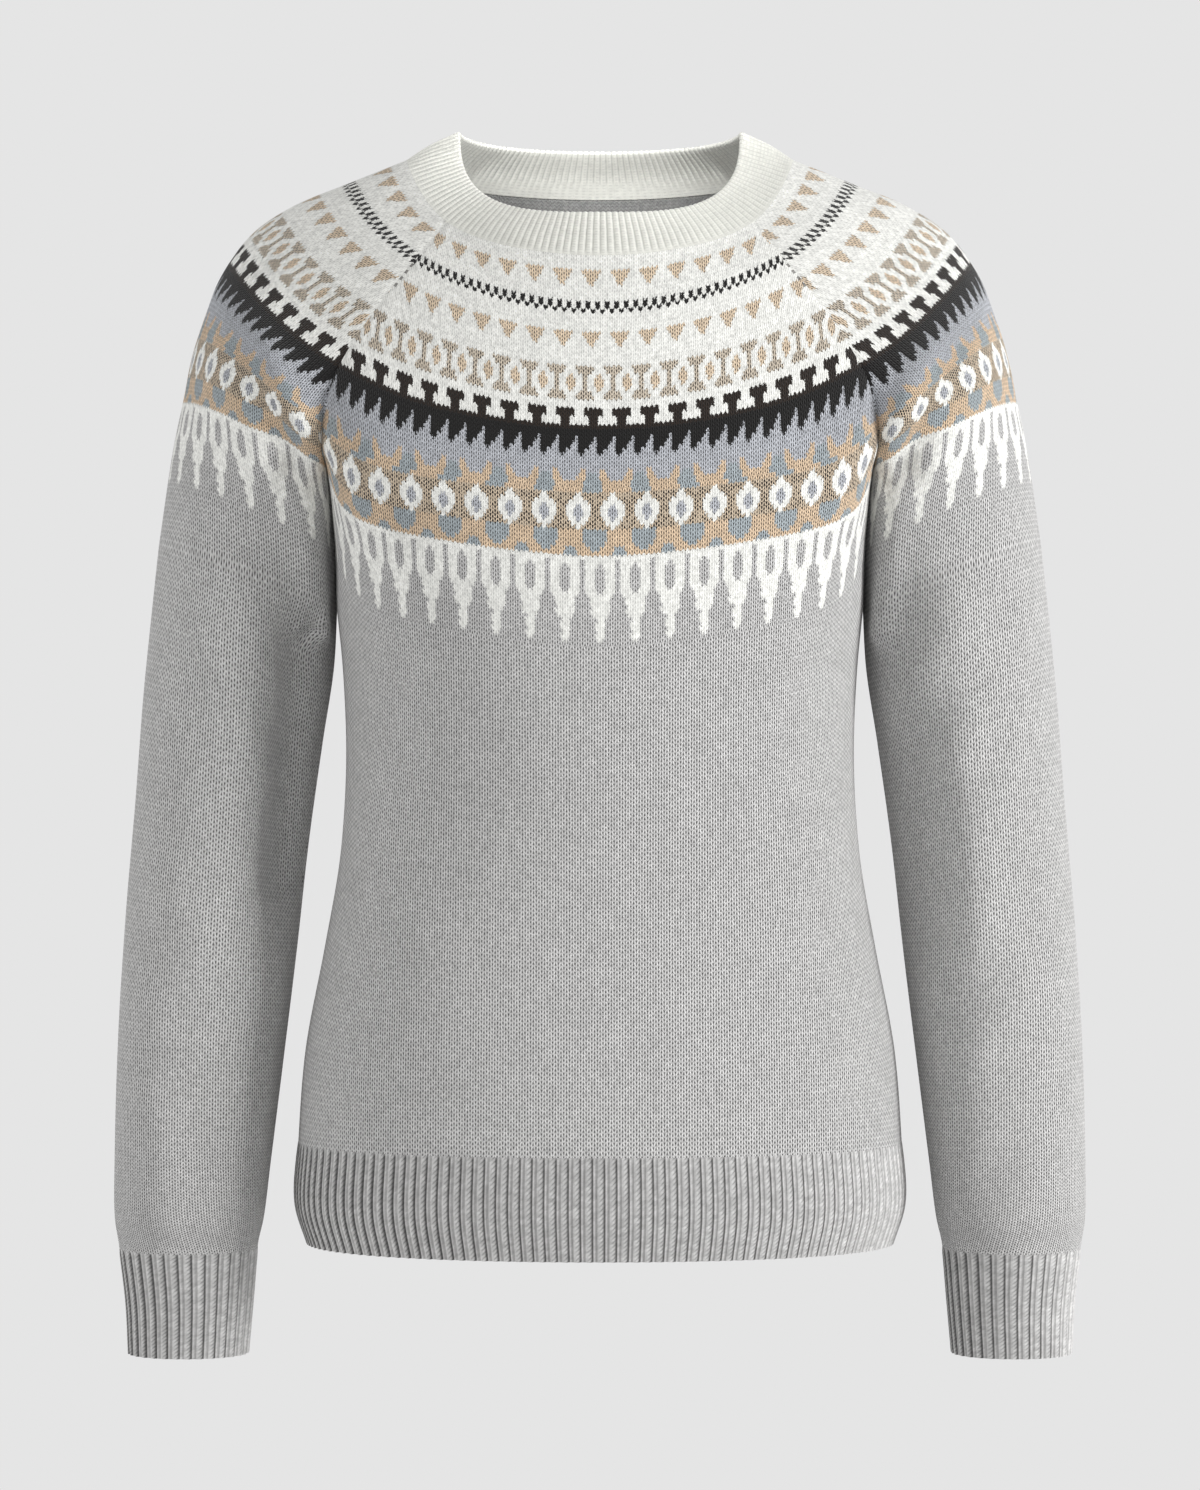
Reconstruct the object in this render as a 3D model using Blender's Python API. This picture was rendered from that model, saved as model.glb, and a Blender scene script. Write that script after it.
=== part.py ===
"""A knitted sweater with a round patterned yoke, filled out as if it were worn.

Nine pieces: front, back, two raglan sleeves, collar rib, two halves of the hem rib and two cuffs.
The cloth is one smooth surface of rings, and every piece is a wall cut from it.
X is to the right in the front view, -Y is the front, +Z is up. The origin is the middle of the
neck opening, at the height of the shoulders. The tables are in millimetres.
"""

import bpy
import numpy as np

MM = 0.001

WALL = 2.3  # thickness of the plain knit
SEAM_GAP = 0.3  # space between two pieces along a seam
RIB_WALL = 1.7  # thickness between two ribs
RIB_RAISE = 0.9  # how far a rib stands out

COLLAR_RIBS = 126  # all the way round
HEM_RIBS = 71  # in each half
CUFF_RIBS = 31

UNDERARM = 108  # the knitted row where the sleeves leave the body
HEM_ROWS = (214, 227, 236)  # the seam, the middle and the edge of the hem rib
CUFF_ROWS = (268, 281, 295)
MIRROR = np.array((-1.0, 1, 1))

FRONT_COLUMNS = (0, 0.15, 0.30, 0.45, 0.60, 0.74, 0.86, 0.95, 1)  # centre to seam, share of the way
ARM_COLUMNS = (0, 0.07, 0.19, 0.35, 0.52, 0.68, 0.84, 1)  # seam to the outer line of the sleeve
YOKE_ROWS = (0, 10, 20, 29, 37, 45, 54, 64, 75, 85, 96, 108)
BODY_ROWS = (108, 122, 138, 156, 176, 196, 214)
SLEEVE_ROWS = (108, 120, 137, 159, 184, 210, 236, 255, 268)

# The yoke, a line for each ring. Row is counted down from the collar seam. Side is the outer line
# of the sleeve, seam_x the raglan seam while the ring is still an oval, fold how far the ring has
# folded in at the armpit, arm_deep the half depth of the sleeve there, and even how much of the
# ring's rise to the shoulder is spread over its whole width.
YOKE_NAMES = ("row", "side_x", "side_y", "side_z", "front_y", "front_z", "back_y", "back_z",
              "seam_x", "fold", "arm_deep", "even")
YOKE = np.array((
    (0, 108, -8, 1.5, -93.5, -60.5, 74, -10.5, 84, 0, 30, 0.47),
    (12, 142, -5, -11.8, -105, -91, 88, -37, 101, 0, 38, 0.72),
    (24, 172, -3, -24, -110.5, -116, 97, -61, 118, 0, 46, 0.74),
    (35, 195.5, -1, -40, -115, -140, 103, -84, 133, 0.03, 52, 0.74),
    (45, 212, 0, -63, -119, -161, 106, -105, 144, 0.22, 55, 0.78),
    (54, 220.5, 1, -84.5, -122, -179, 107.5, -124, 150, 0.52, 56.5, 0.8),
    (64, 228, 2, -108, -125.5, -199, 108, -145, 154, 0.82, 57, 0.8),
    (75, 233, 2, -132.5, -128, -222.5, 108, -168, 156, 0.98, 57, 0.8),
    (85, 237.5, 2, -153, -128.5, -245, 107.5, -189, 156, 1, 57, 0.8),
    (96, 241.5, 2, -177, -127.5, -269, 106, -212, 156, 1, 56.5, 0.8),
    (108, 246, 2, -208, -124, -297, 103, -238, 156, 1, 56, 0.8),
), float)

# The raglan seam where the ring has folded in: in front and at the back.
SEAM_NAMES = ("row", "x", "front_y", "front_z", "back_y", "back_z")
SEAM = np.array((
    (0, 94, -60, -42, 50, -8),
    (35, 136, -84, -106, 75, -68),
    (45, 145, -83, -126, 70, -90),
    (54, 149, -75, -143, 61, -112),
    (64, 150.5, -63, -157, 51, -133),
    (75, 149.5, -48, -172, 39, -157),
    (85, 148, -33, -191, 27, -181),
    (96, 147, -17, -215, 14, -212),
    (108, 147, 0, -246, 0, -246),
), float)

# The body under the arms, down to the hem seam and on to the edge of the hem.
BODY_NAMES = ("row", "side_x", "side_y", "side_z", "front_y", "front_z", "back_y", "back_z")
BODY = np.array((
    (108, 147, 0, -246, -124, -297, 103, -238),
    (122, 143.4, 0, -285.6, -117, -330, 97, -278.7),
    (138, 141.7, -2, -331, -108, -367.5, 88, -325),
    (156, 144.4, -2, -382, -102.5, -410, 85, -377.5),
    (176, 154, 0, -438.5, -106, -457, 95, -435.7),
    (196, 164.5, 0, -495, -112, -503.7, 106, -493.6),
    (214, 168.5, 0, -546, -115, -546, 112, -546),
    (227, 170, 0, -581, -116, -581, 113, -581),
    (236, 163.5, 0, -602, -113.5, -602, 110, -602),
), float)

# A sleeve: its inner and outer line, the middle of its depth, and its half depth.
SLEEVE_NAMES = ("row", "inner_x", "inner_z", "outer_x", "outer_z", "mid_y", "deep")
SLEEVE = np.array((
    (108, 147, -246, 246, -208, 0, 56),
    (120, 148.8, -278, 250, -242, 3, 53.5),
    (137, 155.6, -322, 255.5, -293, 6, 50.5),
    (159, 163.4, -377, 260.6, -356, 8, 49),
    (184, 170, -438, 266, -423, 5, 47),
    (210, 177.1, -500, 269.4, -491, -2, 44.5),
    (236, 183.5, -556, 270.2, -553, -12, 42),
    (255, 187.2, -588, 269.6, -587, -17, 40),
    (268, 190.5, -604, 266.8, -604, -19, 37.5),
    (281, 193, -633, 263.2, -633, -20, 33),
    (295, 195.5, -662, 261.6, -662, -21, 31),
), float)

# The collar: how far up it, then its half width, and the height and depth of its front, side, back.
COLLAR_NAMES = ("up", "side_x", "side_y", "side_z", "front_y", "front_z", "back_y", "back_z", "even")
COLLAR = np.array((
    (0, 108, -8, 1.5, -93.5, -60.5, 74, -10.5, 0.47),
    (0.5, 95.5, -8.5, 9.5, -88, -48.5, 69.5, 2.5, 0.44),
    (1, 79.5, -9, 17, -80.5, -36, 62, 14.5, 0.42),
), float)

# Soft folds: which face (-1 front, 1 back), from x, z to x, z, how wide, how high at each end.
FOLD_NAMES = ("face", "x0", "z0", "x1", "z1", "wide", "high0", "high1")
FOLDS = (
    (-1, 194, -92, 160, -150, 13, -1, -5),
    (-1, 216, -110, 180, -168, 15, 1, 4),
    (-1, 150, -120, 132, -190, 16, 0, 3),
    (-1, 214, -225, 176, -290, 16, 1, 3),
    (-1, 176, -262, 196, -400, 13, -3, -1),
    (-1, 232, -300, 206, -420, 18, 2, 2),
    (-1, 188, -440, 214, -540, 15, -2, -1),
    (-1, 250, -470, 238, -585, 15, 2, 1),
    (-1, 136, -262, 108, -330, 18, -2, -1),
    (-1, 128, -370, 96, -440, 24, 2, 1),
    (1, 190, -92, 160, -150, 15, -1, -4),
    (1, 214, -240, 182, -320, 18, 3, 2),
    (1, 196, -330, 226, -420, 16, -3, -2),
    (1, 240, -430, 214, -540, 18, 2, 2),
    (1, 134, -262, 96, -340, 20, -3, -1),
    (1, 120, -360, 70, -420, 26, 3, 2),
)


def line_at(table, names, row):
    """The table's values at a row, by name, on a smooth curve through its lines."""
    rows = table[:, 0]
    i = int(np.clip(np.searchsorted(rows, row) - 1, 0, len(rows) - 2))
    wide = rows[i + 1] - rows[i]
    s = (row - rows[i]) / wide
    slope = np.gradient(table, rows, axis=0)
    values = ((1 + 2 * s) * (1 - s) ** 2 * table[i] + s * (1 - s) ** 2 * wide * slope[i]
              + s * s * (3 - 2 * s) * table[i + 1] + s * s * (s - 1) * wide * slope[i + 1])
    return dict(zip(names, values))


def evenly(curve, shares):
    """The points at these shares of a curve's length."""
    lengths = np.linalg.norm(np.diff(curve, axis=0), axis=1)
    along = np.concatenate(([0], np.cumsum(lengths))) / lengths.sum()
    return np.stack([np.interp(shares, along, curve[:, k]) for k in range(3)], axis=1)


STEPS = np.linspace(0, 1, 121)  # the steps in which a quarter of a ring is worked out


def torso_arc(mid_y, mid_z, side):
    """From the middle of the front or back to a seam point, flat in the middle, round at the side."""
    a = STEPS * np.pi / 2
    across, deep = np.sin(a), np.cos(a)
    rise = 0.45 * across ** 1.6 + 0.55 * across ** 14
    return np.stack((side[0] * across,
                     side[1] + (mid_y - side[1]) * deep ** 0.8,
                     mid_z + (side[2] - mid_z) * rise), axis=1)


def arm_arc(inner, outer, deep, face, steep=1.0):
    """Half of a sleeve ring: from its inner line over its front or back to its outer line."""
    b = STEPS * np.pi
    near = (1 + np.cos(b)) / 2
    return np.stack((outer[0] + (inner[0] - outer[0]) * near,
                     outer[1] + (inner[1] - outer[1]) * near + face * deep * np.sin(b) ** 0.9,
                     outer[2] + (inner[2] - outer[2]) * near ** steep), axis=1)


def oval_arc(ring, face, start, stop):
    """Part of a ring that hasn't folded, between two angles from its middle."""
    angle = start + (stop - start) * STEPS
    mid_y, mid_z = (ring["front_y"], ring["front_z"]) if face < 0 else (ring["back_y"], ring["back_z"])
    across = np.sin(angle)
    rise = ring["even"] * across ** 2 + (1 - ring["even"]) * across ** 8
    return np.stack((ring["side_x"] * across,
                     ring["side_y"] + (mid_y - ring["side_y"]) * np.cos(angle),
                     mid_z + (ring["side_z"] - mid_z) * rise), axis=1)


def yoke_arcs(row, face):
    """A quarter of a yoke ring, on one face: from its middle to the raglan seam, and on to the side."""
    ring = line_at(YOKE, YOKE_NAMES, row)
    seam = line_at(SEAM, SEAM_NAMES, row)
    at = "front" if face < 0 else "back"
    corner = np.array((seam["x"], seam[at + "_y"], seam[at + "_z"]))
    outer = np.array((ring["side_x"], ring["side_y"], ring["side_z"]))
    turn = np.arcsin(min(ring["seam_x"] / ring["side_x"], 0.97))
    fold = float(np.clip(ring["fold"], 0, 1))
    torso = ((1 - fold) * oval_arc(ring, face, 0, turn)
             + fold * torso_arc(ring[at + "_y"], ring[at + "_z"], corner))
    arm = ((1 - fold) * oval_arc(ring, face, turn, np.pi / 2)
           + fold * arm_arc(corner, outer, ring["arm_deep"], face, 1.3))
    return torso, arm


def body_arc(row, face):
    """A quarter of a body ring, from the middle of its front or back to its side."""
    ring = line_at(BODY, BODY_NAMES, row)
    at = "front" if face < 0 else "back"
    side = np.array((ring["side_x"], ring["side_y"], ring["side_z"]))
    return torso_arc(ring[at + "_y"], ring[at + "_z"], side)


def sleeve_arc(row, face):
    """Half of a sleeve ring, over its front or back."""
    ring = line_at(SLEEVE, SLEEVE_NAMES, row)
    inner = np.array((ring["inner_x"], ring["mid_y"], ring["inner_z"]))
    outer = np.array((ring["outer_x"], ring["mid_y"], ring["outer_z"]))
    return arm_arc(inner, outer, ring["deep"], face)


def collar_arc(up, face):
    """A quarter of a ring of the neck rib. Its front rises ever more steeply towards the shoulder."""
    ring = line_at(COLLAR, COLLAR_NAMES, up)
    arc = oval_arc(ring, face, 0, np.pi / 2)
    if face < 0:
        steep = ring["front_z"] + (ring["side_z"] - ring["front_z"]) * STEPS ** 2.7
        arc[:, 2] = (1 - up) * arc[:, 2] + up * steep
    return arc


def torso_grid(face):
    """Half of the front or back, as rows of points from its middle to its seam."""
    yoke = [evenly(yoke_arcs(row, face)[0], FRONT_COLUMNS) for row in YOKE_ROWS]
    body = [evenly(body_arc(row, face), FRONT_COLUMNS) for row in BODY_ROWS[1:]]
    return np.array(yoke + body)


def sleeve_grid():
    """A sleeve, as rows of points from the front raglan seam round to the back one."""
    rows = []
    for row in YOKE_ROWS + SLEEVE_ROWS[1:]:
        if row <= UNDERARM:
            front, back = yoke_arcs(row, -1)[1], yoke_arcs(row, 1)[1]
        else:
            front, back = sleeve_arc(row, -1), sleeve_arc(row, 1)
        front, back = evenly(front, ARM_COLUMNS), evenly(back, ARM_COLUMNS)
        rows.append(np.concatenate((front, back[-2::-1])))
    return np.array(rows)


def unit(v):
    """These vectors, each one long."""
    return v / np.maximum(np.linalg.norm(v, axis=-1, keepdims=True), 1e-9)


def both_ways(grid, before=None, after=None):
    """At each column, the sum of the unit steps that reach it and leave it."""
    step = unit(np.diff(grid, axis=1))
    first = step[:, :1] if before is None else before
    last = step[:, -1:] if after is None else after
    return np.concatenate((first, step), axis=1) + np.concatenate((step, last), axis=1)


def all_normals(front, sleeve, back):
    """Outward normals of the three grids, the same on both sides of every seam."""
    top = len(YOKE_ROWS)

    def mid(grid):  # the step that arrives at the centre line is the mirror of the one that leaves
        step = unit(grid[:, 1:2] - grid[:, :1])
        return -step * MIRROR

    def along(grid):
        return unit(np.gradient(grid, axis=0))

    f_step, s_step, b_step = (unit(np.diff(g, axis=1)) for g in (front, sleeve, back))
    f_after, b_after = -b_step[:, -1:], -f_step[:, -1:]
    f_after[:top], b_after[:top] = s_step[:top, :1], -s_step[:top, -1:]
    s_before, s_after = s_step[:, -1:].copy(), s_step[:, :1].copy()
    s_before[:top], s_after[:top] = f_step[:top, -1:], -b_step[:top, -1:]
    f_normal = unit(np.cross(along(front), both_ways(front, mid(front), f_after)))
    b_normal = unit(np.cross(both_ways(back, mid(back), b_after), along(back)))
    s_normal = unit(np.cross(along(sleeve), both_ways(sleeve, s_before, s_after)))
    for seam in ((f_normal[:top, -1], s_normal[:top, 0]), (b_normal[:top, -1], s_normal[:top, -1]),
                 (f_normal[top:, -1], b_normal[top:, -1]), (s_normal[top:, 0], s_normal[top:, -1])):
        shared = unit(seam[0] + seam[1])
        seam[0][:], seam[1][:] = shared, shared
    for normal, column in ((f_normal, -1), (b_normal, -1), (s_normal, 0), (s_normal, -1)):
        normal[top - 1, column] = (0, 0, -1)
    return f_normal, s_normal, b_normal


def folded(grid, normals):
    """The grid with the soft folds raised along its normals."""
    moved = np.zeros(grid.shape[:2])
    for fold in FOLDS:
        f = dict(zip(FOLD_NAMES, fold))
        start, way = np.array((f["x0"], f["z0"])), np.array((f["x1"] - f["x0"], f["z1"] - f["z0"]))
        at = grid[..., (0, 2)] - start
        s = (at @ way) / (way @ way)
        near = np.clip(s, 0, 1)
        apart = np.linalg.norm(at - near[..., None] * way, axis=-1)
        facing = np.clip(2 * f["face"] * normals[..., 1], 0, 1)
        moved += (f["high0"] + (f["high1"] - f["high0"]) * near) * np.exp(-(apart / f["wide"]) ** 2) * facing
    return grid + moved[..., None] * normals


def inset(points, normals, towards):
    """A border moved half a seam gap to its own side, at right angles to the seam and the wall."""
    along = np.gradient(points, axis=0)
    side = unit(np.cross(normals, along))
    side = side * np.sign((side * towards).sum(axis=-1, keepdims=True))
    return side * SEAM_GAP / 2


def make_object(name, points, faces, colour):
    """An object of these points, in millimetres, and faces, with one plain material."""
    mesh = bpy.data.meshes.new(name)
    mesh.from_pydata([tuple(p * MM) for p in points], [], faces)
    mesh.validate()
    material = bpy.data.materials.new(name + "_knit")
    material.use_nodes = True
    shader = material.node_tree.nodes["Principled BSDF"]
    shader.inputs["Base Color"].default_value = colour
    shader.inputs["Roughness"].default_value = 0.9
    mesh.materials.append(material)
    thing = bpy.data.objects.new(name, mesh)
    sweater.objects.link(thing)
    return thing


def strip(first, second, offset, flip):
    """Two triangles for each step between two rows of point numbers, the same way round."""
    faces = []
    for i in range(len(first) - 1):
        a, b, c, d = (n + offset for n in (first[i], first[i + 1], second[i + 1], second[i]))
        for face in ((a, b, c), (a, c, d)):
            faces.append(face[::-1] if flip else face)
    return faces


def wall(name, outer, inner, colour, tube_from=None):
    """A wall between two grids. From the row tube_from on, its two sides are one line."""
    rows, columns = outer.shape[:2]
    numbers = np.arange(rows * columns).reshape(rows, columns)
    if tube_from is not None:
        numbers[tube_from:, -1] = numbers[tube_from:, 0]
    size = rows * columns
    faces = []
    for r in range(rows - 1):
        faces += strip(numbers[r], numbers[r + 1], 0, True)
        faces += strip(numbers[r], numbers[r + 1], size, False)
    open_rows = rows if tube_from is None else tube_from + 1
    left, right = numbers[:open_rows, 0], numbers[:open_rows, -1]
    for line, flip in ((numbers[0], False), (numbers[-1], True), (left, True), (right, False)):
        faces += strip(line, line + size, 0, flip)
    points = np.concatenate((outer.reshape(-1, 3), inner.reshape(-1, 3)))
    return tidy(name, points, faces, colour)


def tidy(name, points, faces, colour):
    """Only the points that a face uses are kept."""
    used = sorted({n for face in faces for n in face})
    place = {n: i for i, n in enumerate(used)}
    return make_object(name, points[used], [tuple(place[n] for n in face) for face in faces], colour)


def panel(name, half, normals, colour):
    """The front or the back: half a grid and its mirror, inset at its seams, with a wall."""
    under = len(YOKE_ROWS) - 1
    towards = half[:, -2] - half[:, -1]
    side_normals = normals[under:, -1].copy()
    side_normals[0] = side_normals[1]
    raglan = inset(half[:under + 1, -1], normals[:under + 1, -1], towards[:under + 1])
    side = inset(half[under:, -1], side_normals, towards[under:])
    shift = np.zeros_like(half)
    shift[:under, -1] = raglan[:-1]
    shift[under, -1] = raglan[-1] + side[0]
    shift[under + 1:, -1] = side[1:]
    shift[0] += unit(half[1] - half[0]) * SEAM_GAP / 2
    shift[-1] += unit(half[-2] - half[-1]) * SEAM_GAP / 2
    right_outer = half + shift
    right_inner = right_outer - WALL * normals
    outer, inner = (np.concatenate((right[:, :0:-1] * MIRROR, right), axis=1)
                    for right in (right_outer, right_inner))
    if half[0, 0, 1] > 0:  # the back's columns run the other way round
        outer, inner = outer[:, ::-1], inner[:, ::-1]
    return wall(name, outer, inner, colour)


def sleeve(name, grid, normals, side, colour):
    """A sleeve, open above the underarm and a tube below it. It is mirrored for the left side."""
    under = len(YOKE_ROWS) - 1
    shift = np.zeros_like(grid)
    for column, beside in ((0, 1), (-1, -2)):
        edge = grid[:under + 1, column]
        shift[:under + 1, column] = inset(edge, normals[:under + 1, column], grid[:under + 1, beside] - edge)
    shift[under, (0, -1)] = (SEAM_GAP / 2, 0, 0)
    shift[0] += unit(grid[1] - grid[0]) * SEAM_GAP / 2
    shift[-1] += unit(grid[-2] - grid[-1]) * SEAM_GAP / 2
    outer = grid + shift
    inner = outer - WALL * normals
    if side < 0:
        outer, inner = (outer * MIRROR)[:, ::-1], (inner * MIRROR)[:, ::-1]
    return wall(name, outer, inner, colour, tube_from=under)


def ribbed(name, rings, normals, ribs, colour, closed):
    """A rib band: two outer points for each rib, one on it and one between, over a plain inside."""
    levels = len(rings)
    across = 2 * ribs + (0 if closed else 1)
    high = np.where(np.arange(across) % 2 == 1, RIB_RAISE, 0.0)
    valleys = rings - normals * RIB_RAISE / 2
    outer = valleys + normals * (high * np.ones((levels, 1)))[..., None]
    inner = (valleys - RIB_WALL * normals)[:, ::2]
    out = np.arange(levels * across).reshape(levels, across)
    ins = np.arange(levels * inner.shape[1]).reshape(levels, -1) + out.size
    if closed:
        out = np.concatenate((out, out[:, :1]), axis=1)
        ins = np.concatenate((ins, ins[:, :1]), axis=1)
    faces = []
    for level in range(levels - 1):
        faces += strip(out[level], out[level + 1], 0, True)
        faces += strip(ins[level], ins[level + 1], 0, False)
    for level, flip in ((0, False), (levels - 1, True)):
        for i in range(ribs):
            o, p, q = out[level, 2 * i:2 * i + 3]
            a, b = ins[level, i:i + 2]
            for face in ((o, p, a), (p, b, a), (p, q, b)):
                faces.append(face[::-1] if flip else face)
    if not closed:
        faces += strip(out[:, 0], ins[:, 0], 0, True)
        faces += strip(out[:, -1], ins[:, -1], 0, False)
    points = np.concatenate((outer.reshape(-1, 3), inner.reshape(-1, 3)))
    return tidy(name, points, faces, colour)


def ring_normals(rings, closed):
    """Outward normals of a stack of rings, the first at the top."""
    down = unit(np.gradient(rings, axis=0))
    if closed:
        step = np.roll(rings, -1, axis=1) - np.roll(rings, 1, axis=1)
    else:
        step = np.gradient(rings, axis=1)
    return unit(np.cross(down, step))


def whole_ring(front, back):
    """A closed ring from its two right quarters: centre front, right side, back, left side."""
    right = np.concatenate((front, back[-2::-1]))
    return np.concatenate((right, right[-2:0:-1] * MIRROR, right[:1]))


def collar(edges, edge_normals, colour):
    """The rib round the neck. Its lower edge follows the front, sleeve and back it is sewn to."""
    shares = np.arange(2 * COLLAR_RIBS) / (2 * COLLAR_RIBS)
    top, middle = (evenly(whole_ring(collar_arc(up, -1), collar_arc(up, 1)), shares) for up in (1, 0.5))
    coarse, turned = (whole_ring(np.concatenate((front[:-1], sleeve_top)), back)
                      for front, sleeve_top, back in (edges, edge_normals))
    lengths = np.linalg.norm(np.diff(coarse, axis=0), axis=1)
    along = np.concatenate(([0], np.cumsum(lengths))) / lengths.sum()
    base, base_normals = (np.stack([np.interp(shares, along, each[:, k]) for k in range(3)], axis=1)
                          for each in (coarse, turned))
    rings = np.array((top, middle, base))
    normals = ring_normals(rings, True)
    normals[-1] = base_normals
    rings[-1] += unit(rings[1] - rings[-1]) * SEAM_GAP / 2
    return ribbed("collar_rib", rings, normals, COLLAR_RIBS, colour, True)


def hem(name, face, colour):
    """Half of the rib at the hem, from one side seam to the other."""
    shares = np.linspace(0, 1, 2 * HEM_RIBS + 1)
    halves = [np.concatenate((arc[:0:-1] * MIRROR, arc)) for arc in (body_arc(row, face) for row in HEM_ROWS)]
    rings = np.array([evenly(half if face < 0 else half[::-1], shares) for half in halves])
    rings[0, :, 2] -= SEAM_GAP / 2
    normals = ring_normals(rings, False)
    normals[:, (0, -1), 1] = 0
    normals = unit(normals)
    rings[:, (0, -1), 1] += face * SEAM_GAP / 2
    return ribbed(name, rings, normals, HEM_RIBS, colour, False)


def cuff(name, side, colour):
    """The rib at the end of a sleeve. It is mirrored for the left side."""
    shares = np.arange(2 * CUFF_RIBS) / (2 * CUFF_RIBS)
    rings = np.array([evenly(np.concatenate((sleeve_arc(row, -1), sleeve_arc(row, 1)[-2::-1])), shares)
                      for row in CUFF_ROWS])
    rings[0, :, 2] -= SEAM_GAP / 2
    normals = ring_normals(rings, True)
    if side < 0:
        turn = (-np.arange(2 * CUFF_RIBS)) % (2 * CUFF_RIBS)
        rings, normals = (rings * MIRROR)[:, turn], (normals * MIRROR)[:, turn]
    return ribbed(name, rings, normals, CUFF_RIBS, colour, True)


if "Cube" in bpy.data.objects:
    bpy.data.objects.remove(bpy.data.objects["Cube"], do_unlink=True)

sweater = bpy.data.collections.new("yoke_sweater")
bpy.context.scene.collection.children.link(sweater)

CREAM = (0.78, 0.78, 0.74, 1)
GREY = (0.50, 0.50, 0.49, 1)

flat_grids = torso_grid(-1), sleeve_grid(), torso_grid(1)
grids = [folded(grid, normals) for grid, normals in zip(flat_grids, all_normals(*flat_grids))]
grid_normals = all_normals(*grids)
front_half, sleeve_whole, back_half = grids
front_normals, sleeve_normals, back_normals = grid_normals

panel("front_panel", front_half, front_normals, GREY)
panel("back_panel", back_half, back_normals, GREY)
sleeve("sleeve_right", sleeve_whole, sleeve_normals, 1, GREY)
sleeve("sleeve_left", sleeve_whole, sleeve_normals, -1, GREY)
collar([grid[0] for grid in grids], [normals[0] for normals in grid_normals], CREAM)
hem("hem_rib_front", -1, GREY)
hem("hem_rib_back", 1, GREY)
cuff("cuff_right", 1, GREY)
cuff("cuff_left", -1, GREY)

for thing in sweater.objects:
    print(thing.name, len(thing.data.polygons), "triangles")
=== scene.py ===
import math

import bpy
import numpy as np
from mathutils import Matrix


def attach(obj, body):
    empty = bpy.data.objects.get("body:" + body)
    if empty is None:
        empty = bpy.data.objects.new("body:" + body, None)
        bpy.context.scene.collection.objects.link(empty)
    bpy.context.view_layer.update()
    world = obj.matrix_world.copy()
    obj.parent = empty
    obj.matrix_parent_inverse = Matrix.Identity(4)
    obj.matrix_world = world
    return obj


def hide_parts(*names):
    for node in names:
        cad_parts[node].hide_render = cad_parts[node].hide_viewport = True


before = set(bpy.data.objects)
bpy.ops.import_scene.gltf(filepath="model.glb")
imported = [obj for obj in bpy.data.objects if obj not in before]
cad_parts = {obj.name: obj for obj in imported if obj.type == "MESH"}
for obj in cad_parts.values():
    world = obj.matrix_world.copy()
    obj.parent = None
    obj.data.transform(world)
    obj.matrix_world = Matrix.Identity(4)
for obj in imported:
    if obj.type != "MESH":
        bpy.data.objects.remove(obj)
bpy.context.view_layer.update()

# %% [markdown]
# # A knitted sweater with a round patterned yoke
#
# The real object is knitted in pieces: a front, a back, two raglan sleeves, and ribs at the neck, the hem
# and the cuffs. Here it is filled out as if somebody wore it, so it is a hollow form. The frame that was
# just loaded holds plain walls for the pieces. This file makes the pieces that are seen: fine cloth with
# folds, ribs that stand out, and yarn with its stitches and its patterned bands.

bpy.ops.object.select_all(action="DESELECT")

# %% [markdown]
# ## The camera
#
# The photograph was taken from the front, level with the middle of the sweater. A long lens 2.6 m away
# shows it with little perspective, as a shop photograph does. The lens is worked out from the picture's
# height: 1490 pixels of 0.56 mm each fit on a sensor 36 mm high.

# %% Camera
MM = 0.001
CAMERA_AWAY, CAMERA_UP = 2.6, -0.3248  # metres from the neck
PIXELS_HIGH, PIXEL, SENSOR = 1490, 0.56, 36  # pixels, then millimetres
bpy.ops.object.camera_add(location=(0, -CAMERA_AWAY, CAMERA_UP), rotation=(math.pi / 2, 0, 0))
camera = bpy.context.object
camera.name = "front_camera"
camera.data.lens = SENSOR * CAMERA_AWAY / (PIXELS_HIGH * PIXEL * MM)
bpy.context.scene.camera = camera
print("lens", round(camera.data.lens, 1), "mm")

# %% [markdown]
# ## The rings of the cloth
#
# A knitter counts rows, and so does this model: row 0 is the seam of the collar, row 108 the underarm,
# row 214 the seam of the hem and row 268 the seam of the cuffs. Each row is a ring round the body. A few
# rings are given by their width, depth and height in millimetres, and every row between them lies on a
# smooth curve through those. It could also be sculpted or draped by a simulation, but rings keep the
# stitches level and let the pattern follow the cloth by row and column.

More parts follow.
